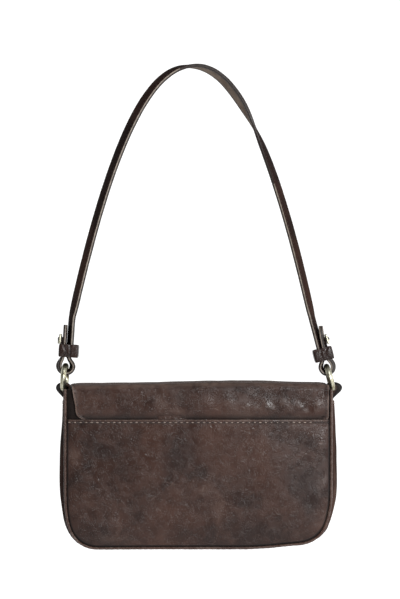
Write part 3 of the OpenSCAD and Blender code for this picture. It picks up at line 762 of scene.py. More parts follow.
def piping_tree():
    """A round cord in leather that swells between the stitches beside it."""
    tree, given, result = new_group(
        "Piping Cord",
        "GeometryNodeTree",
        [
            ("Geometry", "NodeSocketGeometry", None),
            ("Radius", "NodeSocketFloat", 0.0013),
            ("Swell", "NodeSocketFloat", 0.08),
            ("Pitch", "NodeSocketFloat", 0.006),
            ("Step", "NodeSocketFloat", 0.0015),
            ("Material", "NodeSocketMaterial", None),
        ],
        [("Geometry", "NodeSocketGeometry")],
    )
    along = {"Curve": given["Geometry"], "Length": given["Step"]}
    even = add_node(tree, "GeometryNodeResampleCurve", along, mode="LENGTH").outputs[0]
    run = add_node(tree, "GeometryNodeSplineParameter").outputs["Length"]
    turns = times(tree, calculate(tree, "DIVIDE", run, given["Pitch"]), 2 * math.pi)
    spot = add_node(tree, "GeometryNodeInputPosition").outputs[0]
    uneven = spread(tree, noise_value(tree, spot, 70.0, 2), 0.2, 0.8, -1.0, 1.0)
    wave = plus(tree, times(tree, calculate(tree, "SINE", turns), 0.5), uneven)
    swell = plus(tree, times(tree, wave, given["Swell"]), 1.0)
    ring = add_node(tree, "GeometryNodeCurvePrimitiveCircle", {"Resolution": 14, "Radius": 1.0}).outputs[0]
    size = times(tree, swell, given["Radius"])
    sweep = {"Curve": even, "Profile Curve": ring, "Scale": size, "Fill Caps": True}
    tube = add_node(tree, "GeometryNodeCurveToMesh", sweep).outputs[0]
    end_tree(tree, tube, given, result)
    return tree


def grow(name, paths, tree_name, maker, values):
    """Runs a node tree along some paths and returns its result as a plain mesh object."""
    source = make_curve(name + "_path", paths)
    tree = bpy.data.node_groups.get(tree_name) or maker()
    modifier = source.modifiers.new("Nodes", "NODES")
    modifier.node_group = tree
    for item in tree.interface.items_tree:
        if item.in_out == "INPUT" and item.name in values:
            modifier[item.identifier] = values[item.name]
    graph = bpy.context.evaluated_depsgraph_get()
    mesh = bpy.data.meshes.new_from_object(source.evaluated_get(graph), depsgraph=graph)
    bpy.data.objects.remove(source)
    mesh.name = name
    obj = new_object(name, mesh, [])
    shade(obj, 60)
    return obj


def stitch(name, paths, thread="Pale Thread", pitch=None, radius=None):
    """Rows of stitches along some paths."""
    stitching = bpy.context.scene.bag_stitching
    values = {
        "Pitch": pitch or stitching.pitch,
        "Thread Radius": radius or stitching.thread,
        "Share": 0.5,
        "Material": material(thread),
    }
    return grow(name, paths, "Stitch Row", stitch_tree, values)


# Body

# How far a seam holds the leather still, and the gathers beside it
SEAM_HOLD = 3 * MM
GATHER_SIZE = 4.5 * MM
GATHER_REACH = 5 * MM


def outline_rows(top, base, half, radius, step, corner_steps=12):
    """Heights and half widths of an outline with two round lower corners, from the top down."""
    straight = np.linspace(top, base + radius, max(2, round((top - base - radius) / step)))
    angles = np.radians(np.linspace(0, 90, corner_steps + 1)[1:])
    heights = np.concatenate([straight, base + radius * (1 - np.sin(angles))])
    halves = np.concatenate([np.full(len(straight), half), half - radius + radius * np.cos(angles)])
    return heights, halves


def flat_sheet(heights, halves, count):
    """Rows of points on an upright sheet, from its heights and half widths."""
    x = halves[:, None] * np.linspace(-1, 1, count)
    return np.stack([x, np.zeros_like(x), np.repeat(heights[:, None], count, 1)], -1)


def settle(points):
    """Lifts the body's lower right corner and lowers the left one a little, as the soft body hangs."""
    shape = bpy.context.scene.bag_shape
    lift_top, lift_depth, lift_start, lift_run = 58 * MM, 52 * MM, 42 * MM, 74 * MM
    drop, drop_x, drop_reach = 0.3 * MM, -92 * MM, 30 * MM
    waist_z, waist_reach, waist_run = SEAM_BASE + 20 * MM, 15 * MM, 30 * MM
    lowest = GUSSET_LOW[2] - 0.4 * MM
    x, z = points[..., 0] - MIDDLE_X, points[..., 2]
    low = smooth((SEAM_BASE + lift_top - z) / lift_depth)
    lift = shape.corner_lift * smooth((x - lift_start) / lift_run) - drop * fade(x - drop_x, drop_reach)
    waist = shape.waist * (1 + 0.4 * (x > 0)) * fade(z - waist_z, waist_reach)
    moved = points.copy()
    moved[..., 0] -= waist * np.tanh(x / waist_run)
    moved[..., 2] = np.maximum(z + lift * low, lowest)
    return moved


def edge_distance(x, z, half, base, radius):
    """Distance inwards from the side and base seams of a panel."""
    side, foot = half - np.abs(x), z - base
    corner = radius - np.hypot(radius - side, radius - foot)
    in_corner = (side < radius) & (foot < radius)
    return np.maximum(np.where(in_corner, corner, np.minimum(side, foot)), 0)


def panel_relief(flat, inset, seed):
    """How far a panel of leather stands out at each point, how rubbed it is there, and the painted shade
    along its seams.
    """
    shape = bpy.context.scene.bag_shape
    belly, belly_reach = 2.2 * MM, 75 * MM
    crumple_x, crumple_z, crumple_reach, crumple = 76 * MM, SEAM_BASE + 20 * MM, 11 * MM, 0.9 * MM
    rub_inset, rub_reach, seam_shade_reach = 7 * MM, 4 * MM, 1.7 * MM
    rounded = shape.puff * (1 - np.exp(-inset / shape.roll)) - 0.6 * shape.puff
    rounded = rounded + belly * (1 - fade(inset, belly_reach))
    waves = shape.sag * (ripple(flat, 62 * MM, seed) + 0.4 * ripple(flat, 27 * MM, seed + 1))
    creases = shape.crease * ripple(flat, 11 * MM, seed + 2) * (0.35 + fade(inset, 16 * MM))
    gathers = shape.pucker * ripple(flat, GATHER_SIZE, seed + 3) * fade(inset, GATHER_REACH)
    crumpled = fade(np.hypot((flat[..., 0] - crumple_x) / 2.4, flat[..., 2] - crumple_z), crumple_reach)
    creases = creases + crumple * crumpled * ripple(flat, (8 * MM, 8 * MM, 5 * MM), seed + 7)
    wear = 0.3 * fade(inset - rub_inset, rub_reach) * np.clip(ripple(flat, 20 * MM, seed + 4), 0, 1)
    # Painted shade in the dip along the seams.
    wear = wear - 1.1 * fade(inset, seam_shade_reach)
    return rounded + (waves + creases) * (1 - fade(inset, SEAM_HOLD)) + gathers, wear


def body_panel(name, side, face_y, top, seed, node, hem=None):
    """A panel of the body, round at its lower corners and puffed out between its seams.

    Gives the points of its face. A hem is a row of stitches below its top edge."""
    shape = bpy.context.scene.bag_shape
    heights, halves = outline_rows(top, SEAM_BASE, PANEL_HALF, CORNER_R, shape.mesh_step)
    flat = flat_sheet(heights, halves, round(2 * PANEL_HALF / shape.mesh_step))
    x, z = flat[..., 0], flat[..., 2]
    inset = edge_distance(x, z, PANEL_HALF, SEAM_BASE, CORNER_R)
    relief, wear = panel_relief(flat, inset, seed)
    if hem is None:
        # Painted shadow towards both sides of a panel without a hem.
        shadow_x, shadow_run = 106 * MM, 8 * MM
        wear = wear - 0.8 * smooth((np.abs(x) - shadow_x) / shadow_run)
    else:
        below, groove_reach, rub_reach = top - z, 1.3 * MM, 0.9 * MM
        relief -= shape.groove * 1.6 * fade(below - hem, groove_reach)
        relief += 0.5 * MM * fade(below - hem / 2, hem / 2) * (1 + ripple(flat, 9 * MM, seed + 5))
        wear = np.where(inset > 2 * MM, np.maximum(wear, 0.6 * fade(below, rub_reach)), wear)
        # Painted shade in the groove of the hem's stitches.
        wear = wear - 0.8 * fade(below - hem, rub_reach)
    grid = settle(np.stack([x + MIDDLE_X, face_y + side * relief, z], -1))
    if side == FRONT:
        grid, wear = grid[:, ::-1], wear[:, ::-1]
    obj = grid_object(name, grid[::-1], [material("Body Leather"), material("Edge Paint")], wear=wear[::-1])
    thicken(obj, PLY, rim=1)
    place(obj, "bag", "body_leather", node)
    return grid


def gusset_course(step):
    """Points along the seam from the left top round to the right top.

    Each row holds across, height, way out across and in height, and angle round the corner."""
    top, turn_z, turn_x = GUSSET_HIGH[2], SEAM_BASE + CORNER_R, PANEL_HALF - CORNER_R
    falls = np.linspace(0, 1, round((top - turn_z) / step))
    flats = np.linspace(-1, 1, round(2 * turn_x / step))[1:-1]
    left = [(-PANEL_HALF, top + (turn_z - top) * f, -1, 0, 0) for f in falls]
    for a in np.radians(np.linspace(0, 90, 13)[1:]):
        out_x, out_z = -math.cos(a), -math.sin(a)
        left.append((CORNER_R * out_x - turn_x, turn_z + CORNER_R * out_z, out_x, out_z, a))
    base = [(turn_x * f, SEAM_BASE, 0, -1, math.pi / 2) for f in flats]
    right = [(-x, z, -out_x, out_z, a) for x, z, out_x, out_z, a in left[::-1]]
    return np.array(left + base + right)


def gusset_surface(course, y):
    """The gusset's outer face over its seam course and its depth."""
    half_depth, flat_half = GUSSET_HIGH[1], 22 * MM
    top_swell, swell_run = 4.2 * MM, 50 * MM
    waist, waist_z, waist_run = 1.2 * MM, SEAM_BASE + 55 * MM, 30 * MM
    side_swell = (GUSSET_HIGH[0] - GUSSET_LOW[0]) / 2 - PANEL_HALF - SEAM_OUT
    base_swell = SEAM_BASE - GUSSET_LOW[2] - SEAM_OUT
    side = top_swell + (side_swell - top_swell) * smooth((GUSSET_HIGH[2] - course[:, 1]) / swell_run)
    side = side - waist * smooth((waist_z - course[:, 1]) / waist_run)
    swell = side + (base_swell - side) * smooth(course[:, 4] / (math.pi / 2))
    down = (course[:, 3] ** 2)[:, None]
    round_swell = 1 - (np.abs(y)[None, :] / half_depth) ** 2.2
    flat_swell = 1 - smooth((np.abs(y)[None, :] - flat_half) / (half_depth - flat_half))
    out = SEAM_OUT + swell[:, None] * (round_swell * (1 - down) + flat_swell * down)
    x = course[:, 0:1] + course[:, 2:3] * out
    z = course[:, 1:2] + course[:, 3:4] * out
    return np.stack([x, np.broadcast_to(y, x.shape), z], -1)


def gusset_offset(grid, course, inset, hem):
    """How far folds, gathers and a row of stitches move the gusset's face, and how deep its folds are."""
    upright = (course[:, 2] ** 2)[:, None]
    corner = np.sin(2 * course[:, 4])[:, None] ** 2
    folds = ripple(grid, (40 * MM, 9 * MM, 46 * MM), 31) * 1.1 * MM * upright
    waves = ripple(grid, 24 * MM, 32) * 0.5 * MM * upright
    gathers = ripple(grid, GATHER_SIZE, 33) * bpy.context.scene.bag_shape.pucker * fade(inset, GATHER_REACH)
    pinched = ripple(grid, (6 * MM, 24 * MM, 6 * MM), 34) * 0.9 * MM * corner
    groove = -0.4 * MM * fade(hem, 1.3 * MM) * upright
    offset = (folds + waves + pinched) * (1 - fade(inset, SEAM_HOLD)) + gathers + groove
    near_base = np.maximum(offset, -0.2 * MM) * np.maximum(upright, 0.35)
    return np.where(upright > 0.5, offset, near_base), folds


def build_gusset():
    """The gusset, with soft folds down its sides and gathers round its corners."""
    edge_rise, rise_reach, dark_run = 9.5 * MM, 34 * MM, 90 * MM
    course = gusset_course(bpy.context.scene.bag_shape.mesh_step)
    y = np.linspace(GUSSET_LOW[1], GUSSET_HIGH[1], 29)
    grid = gusset_surface(course, y)
    outward = np.stack([course[:, 2], np.zeros(len(course)), course[:, 3]], -1)[:, None, :]
    inset = np.broadcast_to(GUSSET_HIGH[1] - np.abs(y), grid.shape[:2])
    rise = edge_rise * smooth((np.abs(y) / GUSSET_HIGH[1] - 0.45) / 0.5)[None, :]
    grid[..., 2] += rise * smooth((grid[..., 2] - GUSSET_HIGH[2] + rise_reach) / rise_reach)
    from_top = np.abs(GUSSET_HIGH[2] + rise - grid[..., 2])
    offset, folds = gusset_offset(grid, course, inset, from_top - bpy.context.scene.bag_stitching.inset)
    grid = grid + outward * offset[..., None]
    grid[..., 2] = np.maximum(grid[..., 2], GUSSET_LOW[2])
    # Paler where the folds stand out and along the top edge; painted shade along the seams.
    wear = 0.3 * np.clip(folds / (0.6 * MM), 0, 1) + 0.6 * fade(from_top, 0.8 * MM) - fade(inset, 1.6 * MM)
    grid[..., 0] += MIDDLE_X
    grid = settle(grid)
    # Painted shade over the left side, away from the light.
    wear -= 0.45 * smooth(-grid[..., 0] / dark_run)
    obj = grid_object("gusset_leather", grid, [material("Gusset Leather"), material("Edge Paint")], wear=wear)
    add_mask(obj.data, "dull", np.ones(wear.size))
    thicken(obj, PLY, rim=1)
    place(obj, "bag", "body_leather", "gusset")
    return grid, course, y


def seam_path(side, y, out, top):
    """The line of a seam, a distance outside the panel's edge, from the left top round to the right top."""
    course = gusset_course(2 * MM)
    keep = course[course[:, 1] < top]
    points = [(-PANEL_HALF - out, y, top)]
    points += [(row[0] + row[2] * out, y, row[1] + row[3] * out) for row in keep]
    points.append((PANEL_HALF + out, y, top))
    path = np.array(points)
    path[:, 0] += MIDDLE_X
    path[:, 1] *= 1 if side == FRONT else -1
    return settle(path)


# Flap


def flap_course(step, inset=0):
    """The flap's outer course from the foot of its sewn end, over the top and down the front.

    Each row holds depth, height, way out in depth and height, and half width. The side and lower
    edges are set in by the inset."""
    back_y, front_y, top = YOKE_LOW[1], FLAP_HIGH[1], FLAP_HIGH[2]
    back_r, front_r, yoke_r, flap_r = 5 * MM, 7 * MM, 9 * MM, 28 * MM - inset
    yoke_half = (YOKE_HIGH[0] - YOKE_LOW[0]) / 2 - 3 * MM - inset
    flap_half = (FLAP_HIGH[0] - FLAP_LOW[0]) / 2 - inset
    low, turn_z = YOKE_LOW[2] + yoke_r, FLAP_LOW[2] + inset + flap_r

    def back_half(z):
        """Half width of the sewn end, which widens towards the top."""
        return yoke_half + (flap_half - yoke_half) * (z - low) / (top - low)

    rows = []
    for a in np.radians(np.linspace(90, 0, 9)):
        rows.append((back_y, low - yoke_r * math.sin(a), -1, 0, yoke_half - yoke_r * (1 - math.cos(a))))
    for z in np.linspace(low, top - back_r, round((top - back_r - low) / step))[1:]:
        rows.append((back_y, z, -1, 0, back_half(z)))
    for a in np.radians(np.linspace(180, 90, 7))[1:]:
        out_y, out_z = math.cos(a), math.sin(a)
        z = top - back_r * (1 - out_z)
        rows.append((back_y + back_r * (1 + out_y), z, out_y, out_z, back_half(z)))
    start, end = back_y + back_r, front_y - front_r
    for y in np.linspace(start, end, round((end - start) / step))[1:]:
        rows.append((y, top, 0, 1, flap_half))
    for a in np.radians(np.linspace(90, 0, 8))[1:]:
        out_y, out_z = math.cos(a), math.sin(a)
        rows.append((end + front_r * out_y, top - front_r * (1 - out_z), out_y, out_z, flap_half))
    for z in np.linspace(top - front_r, turn_z, round((top - front_r - turn_z) / step))[1:]:
        rows.append((front_y, z, 1, 0, flap_half))
    for a in np.radians(np.linspace(0, 90, 13))[1:]:
        rows.append((front_y, turn_z - flap_r * math.sin(a), 1, 0, flap_half - flap_r * (1 - math.cos(a))))
    return np.array(rows)


def sink_crown(points, depth=20 * MM):
    """Lowers points near the flap's top towards its corners."""
    shape = bpy.context.scene.bag_shape
    crest_x, flat_run, left_run, right_run = MIDDLE_X + 50 * MM, 5 * MM, 165 * MM, 66 * MM
    x, z = points[..., 0], points[..., 2]
    drop = shape.crown_left * smooth((crest_x - x) / left_run) ** 1.1
    drop = drop + shape.crown_right * smooth((x - crest_x - flat_run) / right_run)
    points[..., 2] = z - drop * smooth((z - FLAP_HIGH[2] + 22 * MM) / depth)
    return points


def flap_reach(course):
    """How far the flap reaches to the left and to the right of its middle on each row of its course."""
    inset_left, taper_left, flare_left, flare_from = 3.3 * MM, 1.0 * MM, 1.2 * MM, 0.62
    out_right, flare_right, taper_right, cut_right, cut_from = 0.9 * MM, 2.4 * MM, 3 * MM, 1.2 * MM, 0.94
    on_back = 1 - smooth((course[:, 0] - YOKE_LOW[1]) / (26 * MM))
    fall = np.clip((FLAP_HIGH[2] - course[:, 1]) / (FLAP_HIGH[2] - YOKE_LOW[2]), 0, 1)
    fall = fall * (course[:, 2] < -0.5)
    left = course[:, 4] - on_back * (inset_left + taper_left * fall**2)
    left = left + flare_left * np.maximum((fall - flare_from) / (1 - flare_from), 0) ** 1.4
    square = np.max(course[:, 4]) - taper_right * fall
    square = square - cut_right * np.maximum((fall - cut_from) / (1 - cut_from), 0) ** 2
    right = np.where(fall > 0.3, square, course[:, 4]) + on_back * (out_right + flare_right * fall)
    return left, right


def flap_surface(course, count, seed):
    """Points of the flap's outer face, their way out, and how rubbed they are, with painted highlights and
    painted shade.
    """
    shape = bpy.context.scene.bag_shape
    row_inset = bpy.context.scene.bag_stitching.inset
    across = np.linspace(-1, 1, count)
    left, right = flap_reach(course)
    reach = np.where(across < 0, left[:, None], right[:, None])
    y, z, out_y, out_z = (np.repeat(course[:, k : k + 1], count, 1) for k in range(4))
    grid = np.stack([reach * across, y, z], -1)
    out = np.stack([np.zeros_like(y), out_y, out_z], -1)
    on_back, on_front = out_y < -0.5, out_y > 0.5
    side = reach * (1 - np.abs(across))
    foot = np.where(on_back, z - YOKE_LOW[2], np.where(on_front, z - FLAP_LOW[2], 1.0))
    inset = np.minimum(side, foot)
    flatness = np.maximum(np.abs(out_y), np.abs(out_z))
    edge = 1 - fade(inset, 2.5 * MM)

    rumple_x, rumple_run, band_rise, band_reach = -20 * MM, 90 * MM, 12 * MM, 8 * MM
    rumple = ripple(grid, (7 * MM, 7 * MM, 4.5 * MM), seed + 2)
    rumple = rumple * np.clip((grid[..., 0] - rumple_x) / rumple_run, 0, 1)
    band = fade(z - (YOKE_LOW[2] + band_rise), band_reach)
    relief = 0.35 * shape.puff * (1 - np.exp(-inset / (3 * MM)))
    relief = relief + shape.sag * 0.75 * ripple(grid, 55 * MM, seed) * flatness**8 * edge
    relief = relief + shape.crease * 0.8 * ripple(grid, 12 * MM, seed + 1) * edge
    relief = relief - shape.groove * fade(inset - row_inset, 1.2 * MM)
    relief = relief + on_back * ((0.8 + rumple) * band * edge + fade(side, 2.4 * MM)) * MM

    bend = np.clip(1 - np.abs(flatness - 0.8) / 0.2, 0, 1)
    rubbing_and_painted_light = np.clip(0.5 + ripple(grid, 14 * MM, seed + 3), 0, 1)
    painted_shade = 0.7 * fade(foot, 4.5 * MM) * (side > 3 * MM)
    # Paler along the side edges, most on the left, and on the rolled bends, partly rubbing and partly a
    # painted highlight.
    wear = (0.5 + 0.5 * (across < 0)) * fade(side, 1.3 * MM) + 0.3 * bend * rubbing_and_painted_light
    # Painted highlights on the band's rumples, and painted shade at the foot of the sewn end.
    wear = wear + on_back * (0.5 * band * np.clip(rumple, 0, 1) - painted_shade)
    # Painted highlight on the rows that face up.
    wear = wear + 0.5 * smooth((out_z - 0.3) / 0.6)
    # Painted shade in the grooves of the side stitch rows.
    wear = wear - 0.5 * fade(inset - row_inset, 0.8 * MM) * (side < 2 * row_inset)
    grid = grid + out * relief[..., None]
    grid[..., 0] += MIDDLE_X
    return sink_crown(grid), out, wear


def bend_over_hinge(obj):
    """Bakes a piece of the flap's transform into its mesh."""
    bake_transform(obj)


# Strap

# Widths and plies, the folded tails and the loops round the rings
STRAP_W = 16 * MM
STRAP_PLY = 1.6 * MM
TAIL_GAP = 0.3 * MM
LOOP_W = 9.5 * MM
FORK_H = 11 * MM
TAIL_L = 38 * MM
LOOP_DEEP = 7.2 * MM
TIP_L = 6 * MM
TAIL_STEPS = (0, 0.4, 1, 2, 3.5, 5, 8, 11, 14, 17, 20, 23)  # Millimetres from the tail's tip
BEND_V = 20 * MM
STRAIGHT_V = 30 * MM
RING_R = 11.25 * MM
WIRE_R = 2.75 * MM

# The arch, and its roll in degrees at shares of its half length
ARCH_W = 112.5 * MM
ARCH_D = 234.1 * MM
ARCH_POWER = 2.16
FOOT_ROLL = math.radians(16)
ROLL_AT = (0, 0.05, 0.1, 0.2, 0.28, 0.32, 0.36, 0.4, 0.48, 0.6, 0.85, 1)
ROLLS = {
    LEFT: (3, 11, 18, 24, 25, 25, 25, 24, 23, 23, 22, 17),
    RIGHT: (-1, -8, -15, -22, -22, -10, 6, 17, 21, 22, 21, 17),
}

# How each end hangs, and where its leg and its tail lie beside each other
LOOP_SHEAR = {LEFT: math.radians(20), RIGHT: math.radians(15)}
TAIL_ROLL = {LEFT: 0, RIGHT: math.radians(8)}
TAIL_BEND = {LEFT: 0.3 * MM, RIGHT: 1.8 * MM}
LOOP_MIDDLE = {LEFT: (-120.098 * MM, -280.758 * MM), RIGHT: (127.724 * MM, -281.354 * MM)}
END_TILT = {LEFT: math.radians(4.2), RIGHT: math.radians(14.5)}
LAY_U = STRAP_PLY + TAIL_GAP / 2
LEG_U = {LEFT: 6.5 * MM, RIGHT: 5.9 * MM}
LOOP_SHIFT = {LEFT: -0.9 * MM, RIGHT: -0.3 * MM}

# Right of this place and above this height the strap's edges take the dark edge paint; elsewhere the outer
# ply's edges are pale, partly a burnished raw edge and partly a painted highlight
PAINTED_X = -12 * MM
PAINTED_Z = -110 * MM


def end_point(side, u, v):
    """A point at one end of the strap, u outwards and v up the strap from the loop's middle."""
    tilt, (x, z) = END_TILT[side], LOOP_MIDDLE[side]
    return (
        x + side * (u * math.cos(tilt) - v * math.sin(tilt)),
        z + u * math.sin(tilt) + v * math.cos(tilt),
    )


def end_stations(side):
    """Stations from the tail's tip round the loop and up to the arch's foot: x, z, half width, roll."""
    rows = []
    leg, shift = LEG_U[side], LOOP_SHIFT[side]
    roll_from, roll_run, ply_gap = 4 * MM, 12 * MM, 0.35 * MM

    def half_width(v):
        """Half the strap's width, which narrows to its loop."""
        return float(LOOP_W + (STRAP_W - LOOP_W) * smooth(v / FORK_H)) / 2

    def leg_u(sign, v):
        """Place of the tail or the leg, which part below the keeper to go round the ring."""
        part = float(smooth(v / FORK_H))
        return sign * (leg + (LAY_U - leg) * part) + shift * (1 - part)

    def inner(v):
        """A station of the leg, rolled so that its outer edge still touches the tail."""
        half, turn = half_width(v), FOOT_ROLL * float(smooth((v - roll_from) / roll_run))
        touch = (ply_gap + half * math.sin(TAIL_ROLL[side])) * float(smooth(v / FORK_H))
        return (*end_point(side, leg_u(-1, v) + touch - half * math.sin(turn), v), half, turn)

    for from_tip in TAIL_STEPS:
        v = TAIL_L - from_tip * MM
        tip = math.sqrt(min((TAIL_L - v) / TIP_L, 1))
        bend = TAIL_BEND[side] * max((v - BEND_V) / (TAIL_L - BEND_V), 0) ** 2
        spot = end_point(side, LAY_U + bend, v)
        rows.append((*spot, half_width(v) * (0.42 + 0.58 * tip), -TAIL_ROLL[side]))
    for f in np.linspace(0, 1, 9)[1:-1]:
        v = FORK_H * (1 - f)
        rows.append((*end_point(side, leg_u(1, v), v), half_width(v), -TAIL_ROLL[side] * (1 - f)))
    for a in np.radians(np.linspace(0, -180, 19)):
        rows.append((*end_point(side, leg * math.cos(a) + shift, LOOP_DEEP * math.sin(a)), LOOP_W / 2, 0))
    rows += [inner(v) for v in np.linspace(0, STRAIGHT_V, 16)[1:]]
    foot = np.array([side * ARCH_W, STRAP_PLY - ARCH_D])
    knee = np.array(inner(STRAIGHT_V)[:2])
    gap = np.linalg.norm(knee - foot)
    fall = np.array([side * ARCH_W, -ARCH_POWER * ARCH_D])
    fall = fall / np.linalg.norm(fall) * gap
    down = (np.array(end_point(side, 0, 0)) - np.array(end_point(side, 0, 1))) * gap
    for f in np.linspace(1, 0, 9)[1:-1]:
        spot = foot * (2 * f**3 - 3 * f**2 + 1) + fall * (f**3 - 2 * f**2 + f)
        spot = spot + knee * (3 * f**2 - 2 * f**3) + down * (f**3 - f**2)
        rows.append((*spot, STRAP_W / 2, FOOT_ROLL))
    return rows


def strap_stations():
    """All stations of the strap from the left tail over the arch to the right tail."""
    arch = []
    nearby = np.linspace(-0.04, 0.04, 7)
    for t in np.linspace(-1, 1, 121):
        f = math.sin(math.pi / 2 * abs(t))
        rolls = [np.interp(abs(t + near), ROLL_AT, ROLLS[RIGHT if t + near > 0 else LEFT]) for near in nearby]
        roll = math.radians(np.mean(rolls))
        arch.append((math.copysign(ARCH_W * f, t), STRAP_PLY - ARCH_D * f**ARCH_POWER, STRAP_W / 2, roll))
    return np.array(end_stations(LEFT) + arch + end_stations(RIGHT)[::-1])


def strap_frames(stations):
    """Middle, way across and way through at each station."""
    spots = np.stack([stations[:, 0], np.zeros(len(stations)), stations[:, 1]], -1)
    along = unit(np.gradient(spots, axis=0))
    out = np.stack([-along[:, 2], np.zeros(len(along)), along[:, 0]], -1)
    roll = stations[:, 3:4]
    side = np.array([[0.0, 1.0, 0.0]])
    across = side * np.cos(roll) + out * np.sin(roll)
    through = out * np.cos(roll) - side * np.sin(roll)
    return spots, across, through


def follow_ring(points):
    """Bends the loops at the strap's ends so that they lie along their rings, a little askew."""
    askew_from, askew_run = -2 * MM, 13 * MM
    cup, cup_z, cup_reach = 0.8, -4 * MM, 9 * MM
    moved = points.copy()
    for side in (LEFT, RIGHT):
        centre_y = JOINTS[f"ring_{SIDES[side]}_turn"]["pos_m"][1]
        tilt, (x, z) = END_TILT[side], LOOP_MIDDLE[side]
        here = np.sign(points[..., 0]) == side
        height = (points[..., 0] - x) * -side * math.sin(tilt) + (points[..., 2] - z) * math.cos(tilt)
        askew = here * (1 - smooth((height - askew_from) / askew_run)) * math.sin(LOOP_SHEAR[side])
        near = fade(np.hypot(points[..., 0] - x, points[..., 2] - z - cup_z), cup_reach)
        drop = RING_R - np.sqrt(np.maximum(RING_R**2 - (points[..., 1] - centre_y) ** 2, 0))
        out, up = askew * points[..., 1], -cup * drop * near
        moved[..., 0] += side * (out * math.cos(tilt) - up * math.sin(tilt))
        moved[..., 2] += out * math.sin(tilt) + up * math.cos(tilt)
    return moved


def ply_grid(stations, profile, seed, roughen):
    """A ply of the strap: its profile, in half widths and heights, carried along the stations."""
    spots, across, through = strap_frames(stations)
    half = stations[:, 2:3]
    shares, insets, heights = (np.array(column) for column in zip(*profile))
    reach = np.sign(shares) * half * np.abs(shares) - np.sign(shares) * insets
    grid = spots[:, None] + across[:, None] * reach[..., None] + through[:, None] * heights[None, :, None]
    bumps = ripple(grid, 9 * MM, seed) * roughen * np.where(np.abs(heights) > 1.2 * MM, 1, 0)[None]
    grid = grid + through[:, None] * (bumps * np.sign(heights.sum()))[..., None]
    return follow_ring(grid)


def strap_profile(sign):
    """The section of one ply, crowned and grooved along its stitches, from its middle plane outwards."""
    t = STRAP_PLY
    half = [
        (1, 0, 0), (1, 0, 0.25 * t), (1, 0.05 * MM, 0.7 * t), (1, 0.5 * MM, t), (1, 1.5 * MM, 1.02 * t),
        (1, 2.0 * MM, 0.9 * t), (1, 2.6 * MM, 1.02 * t), (0.4, 0, 1.08 * t), (0.0001, 0, 1.1 * t),
    ]
    mirrored = [(-a, inset, h) for a, inset, h in half[::-1]][1:]
    base = [(-0.5, 0, 0), (0.0001, 0, 0), (0.5, 0, 0)]
    return [(a, inset, sign * h) for a, inset, h in half + mirrored + base]


def strap_ply(name, sign, face_material, slot_name, node, seed):
    """One ply of the strap, its edges pale to the left, partly burnished and partly a painted highlight, and
    dark with edge paint at the top and the right.
    """
    stations = strap_stations()
    grid = ply_grid(stations, strap_profile(sign), seed, 0.12 * MM)
    cols = grid.shape[1]
    shoulders, walls, margins = [3, 13], (0, 1, 14, 15), (*range(6), *range(10, 16))
    wear = np.zeros(grid.shape[:2])
    wear[:, shoulders] = 0.35
    wear *= 0.5 + 0.5 * np.clip(0.6 + ripple(grid, 16 * MM, seed + 1), 0, 1)
    from_loop = np.minimum(*(np.hypot(grid[..., 0] - x, grid[..., 2] - z) for x, z in LOOP_MIDDLE.values()))
    # Painted shade towards the loops round the rings.
    wear -= (0.95 if sign < 0 else 0.5) * fade(from_loop - 4 * MM, 9 * MM)
    if sign < 0:
        grid, wear = grid[:, ::-1], wear[:, ::-1]
    # The outer ply's pale edge is partly a painted highlight; in the painted region it takes the dark edge
    # paint.
    edge = material("Raw Edge" if sign > 0 else "Edge Paint")
    materials = [face_material, edge, material("Edge Paint")]
    obj = grid_object(name, grid, materials, ring=True, capped=True, wear=wear)
    add_mask(obj.data, "dull", np.full(wear.size, 0.75))
    columns = walls if sign > 0 else [cols - 2 - c for c in margins]
    spans = np.arange((len(stations) - 1) * cols) % cols
    slots = np.ones(len(obj.data.polygons), np.int32)
    slots[: len(spans)] = np.isin(spans, columns)
    middles = np.array([tuple(face.center) for face in obj.data.polygons])
    painted = (middles[:, 0] > PAINTED_X) & (middles[:, 2] > PAINTED_Z)
    slots[(slots == 1) & painted] = 2
    obj.data.polygons.foreach_set("material_index", slots)
    obj.data.update()
    return place(obj, "strap", slot_name, node)


def strap_rows():
    """Stitch rows along both edges of the strap, on both faces."""
    stations = strap_stations()
    keep = slice(3, len(stations) - 3)
    spots, across, through = strap_frames(stations)
    rows = []
    for edge in (-1, 1):
        reach = edge * (stations[:, 2:3] - 2 * MM)
        for height in (0.93 * STRAP_PLY, -0.93 * STRAP_PLY):
            path = spots + across * reach + through * height
            rows.append(follow_ring(path)[keep])
    return rows


# Leather round the metal


def end_place(side, points):
    """Points given as u, y and v at one end of the strap, in the frame's own axes."""
    x, z = end_point(side, points[..., 0], points[..., 2])
    placed = np.stack([x, points[..., 1], z], -1)
    return placed if side == LEFT else placed[::-1]


def rounded_ring(half_u, half_y, radius, count):
    """Points of a rectangle with round corners, with their ways out, evenly spread."""
    points, ways = [], []
    for quarter, (sign_u, sign_y) in enumerate(((1, 1), (-1, 1), (-1, -1), (1, -1))):
        for a in np.radians(np.linspace(0, 90, 7) + 90 * quarter):
            way = np.array([math.cos(a), math.sin(a)])
            points.append(np.array([sign_u * (half_u - radius), sign_y * (half_y - radius)]) + radius * way)
            ways.append(way)
    points, ways = np.array(points + points[:1]), np.array(ways + ways[:1])
    run = np.concatenate([[0], np.cumsum(np.linalg.norm(np.diff(points, axis=0), axis=1))])
    even = np.linspace(0, run[-1], count + 1)[:-1]
    spread_out = [np.stack([np.interp(even, run, a[:, k]) for k in (0, 1)], -1) for a in (points, ways)]
    return spread_out[0], unit(spread_out[1])


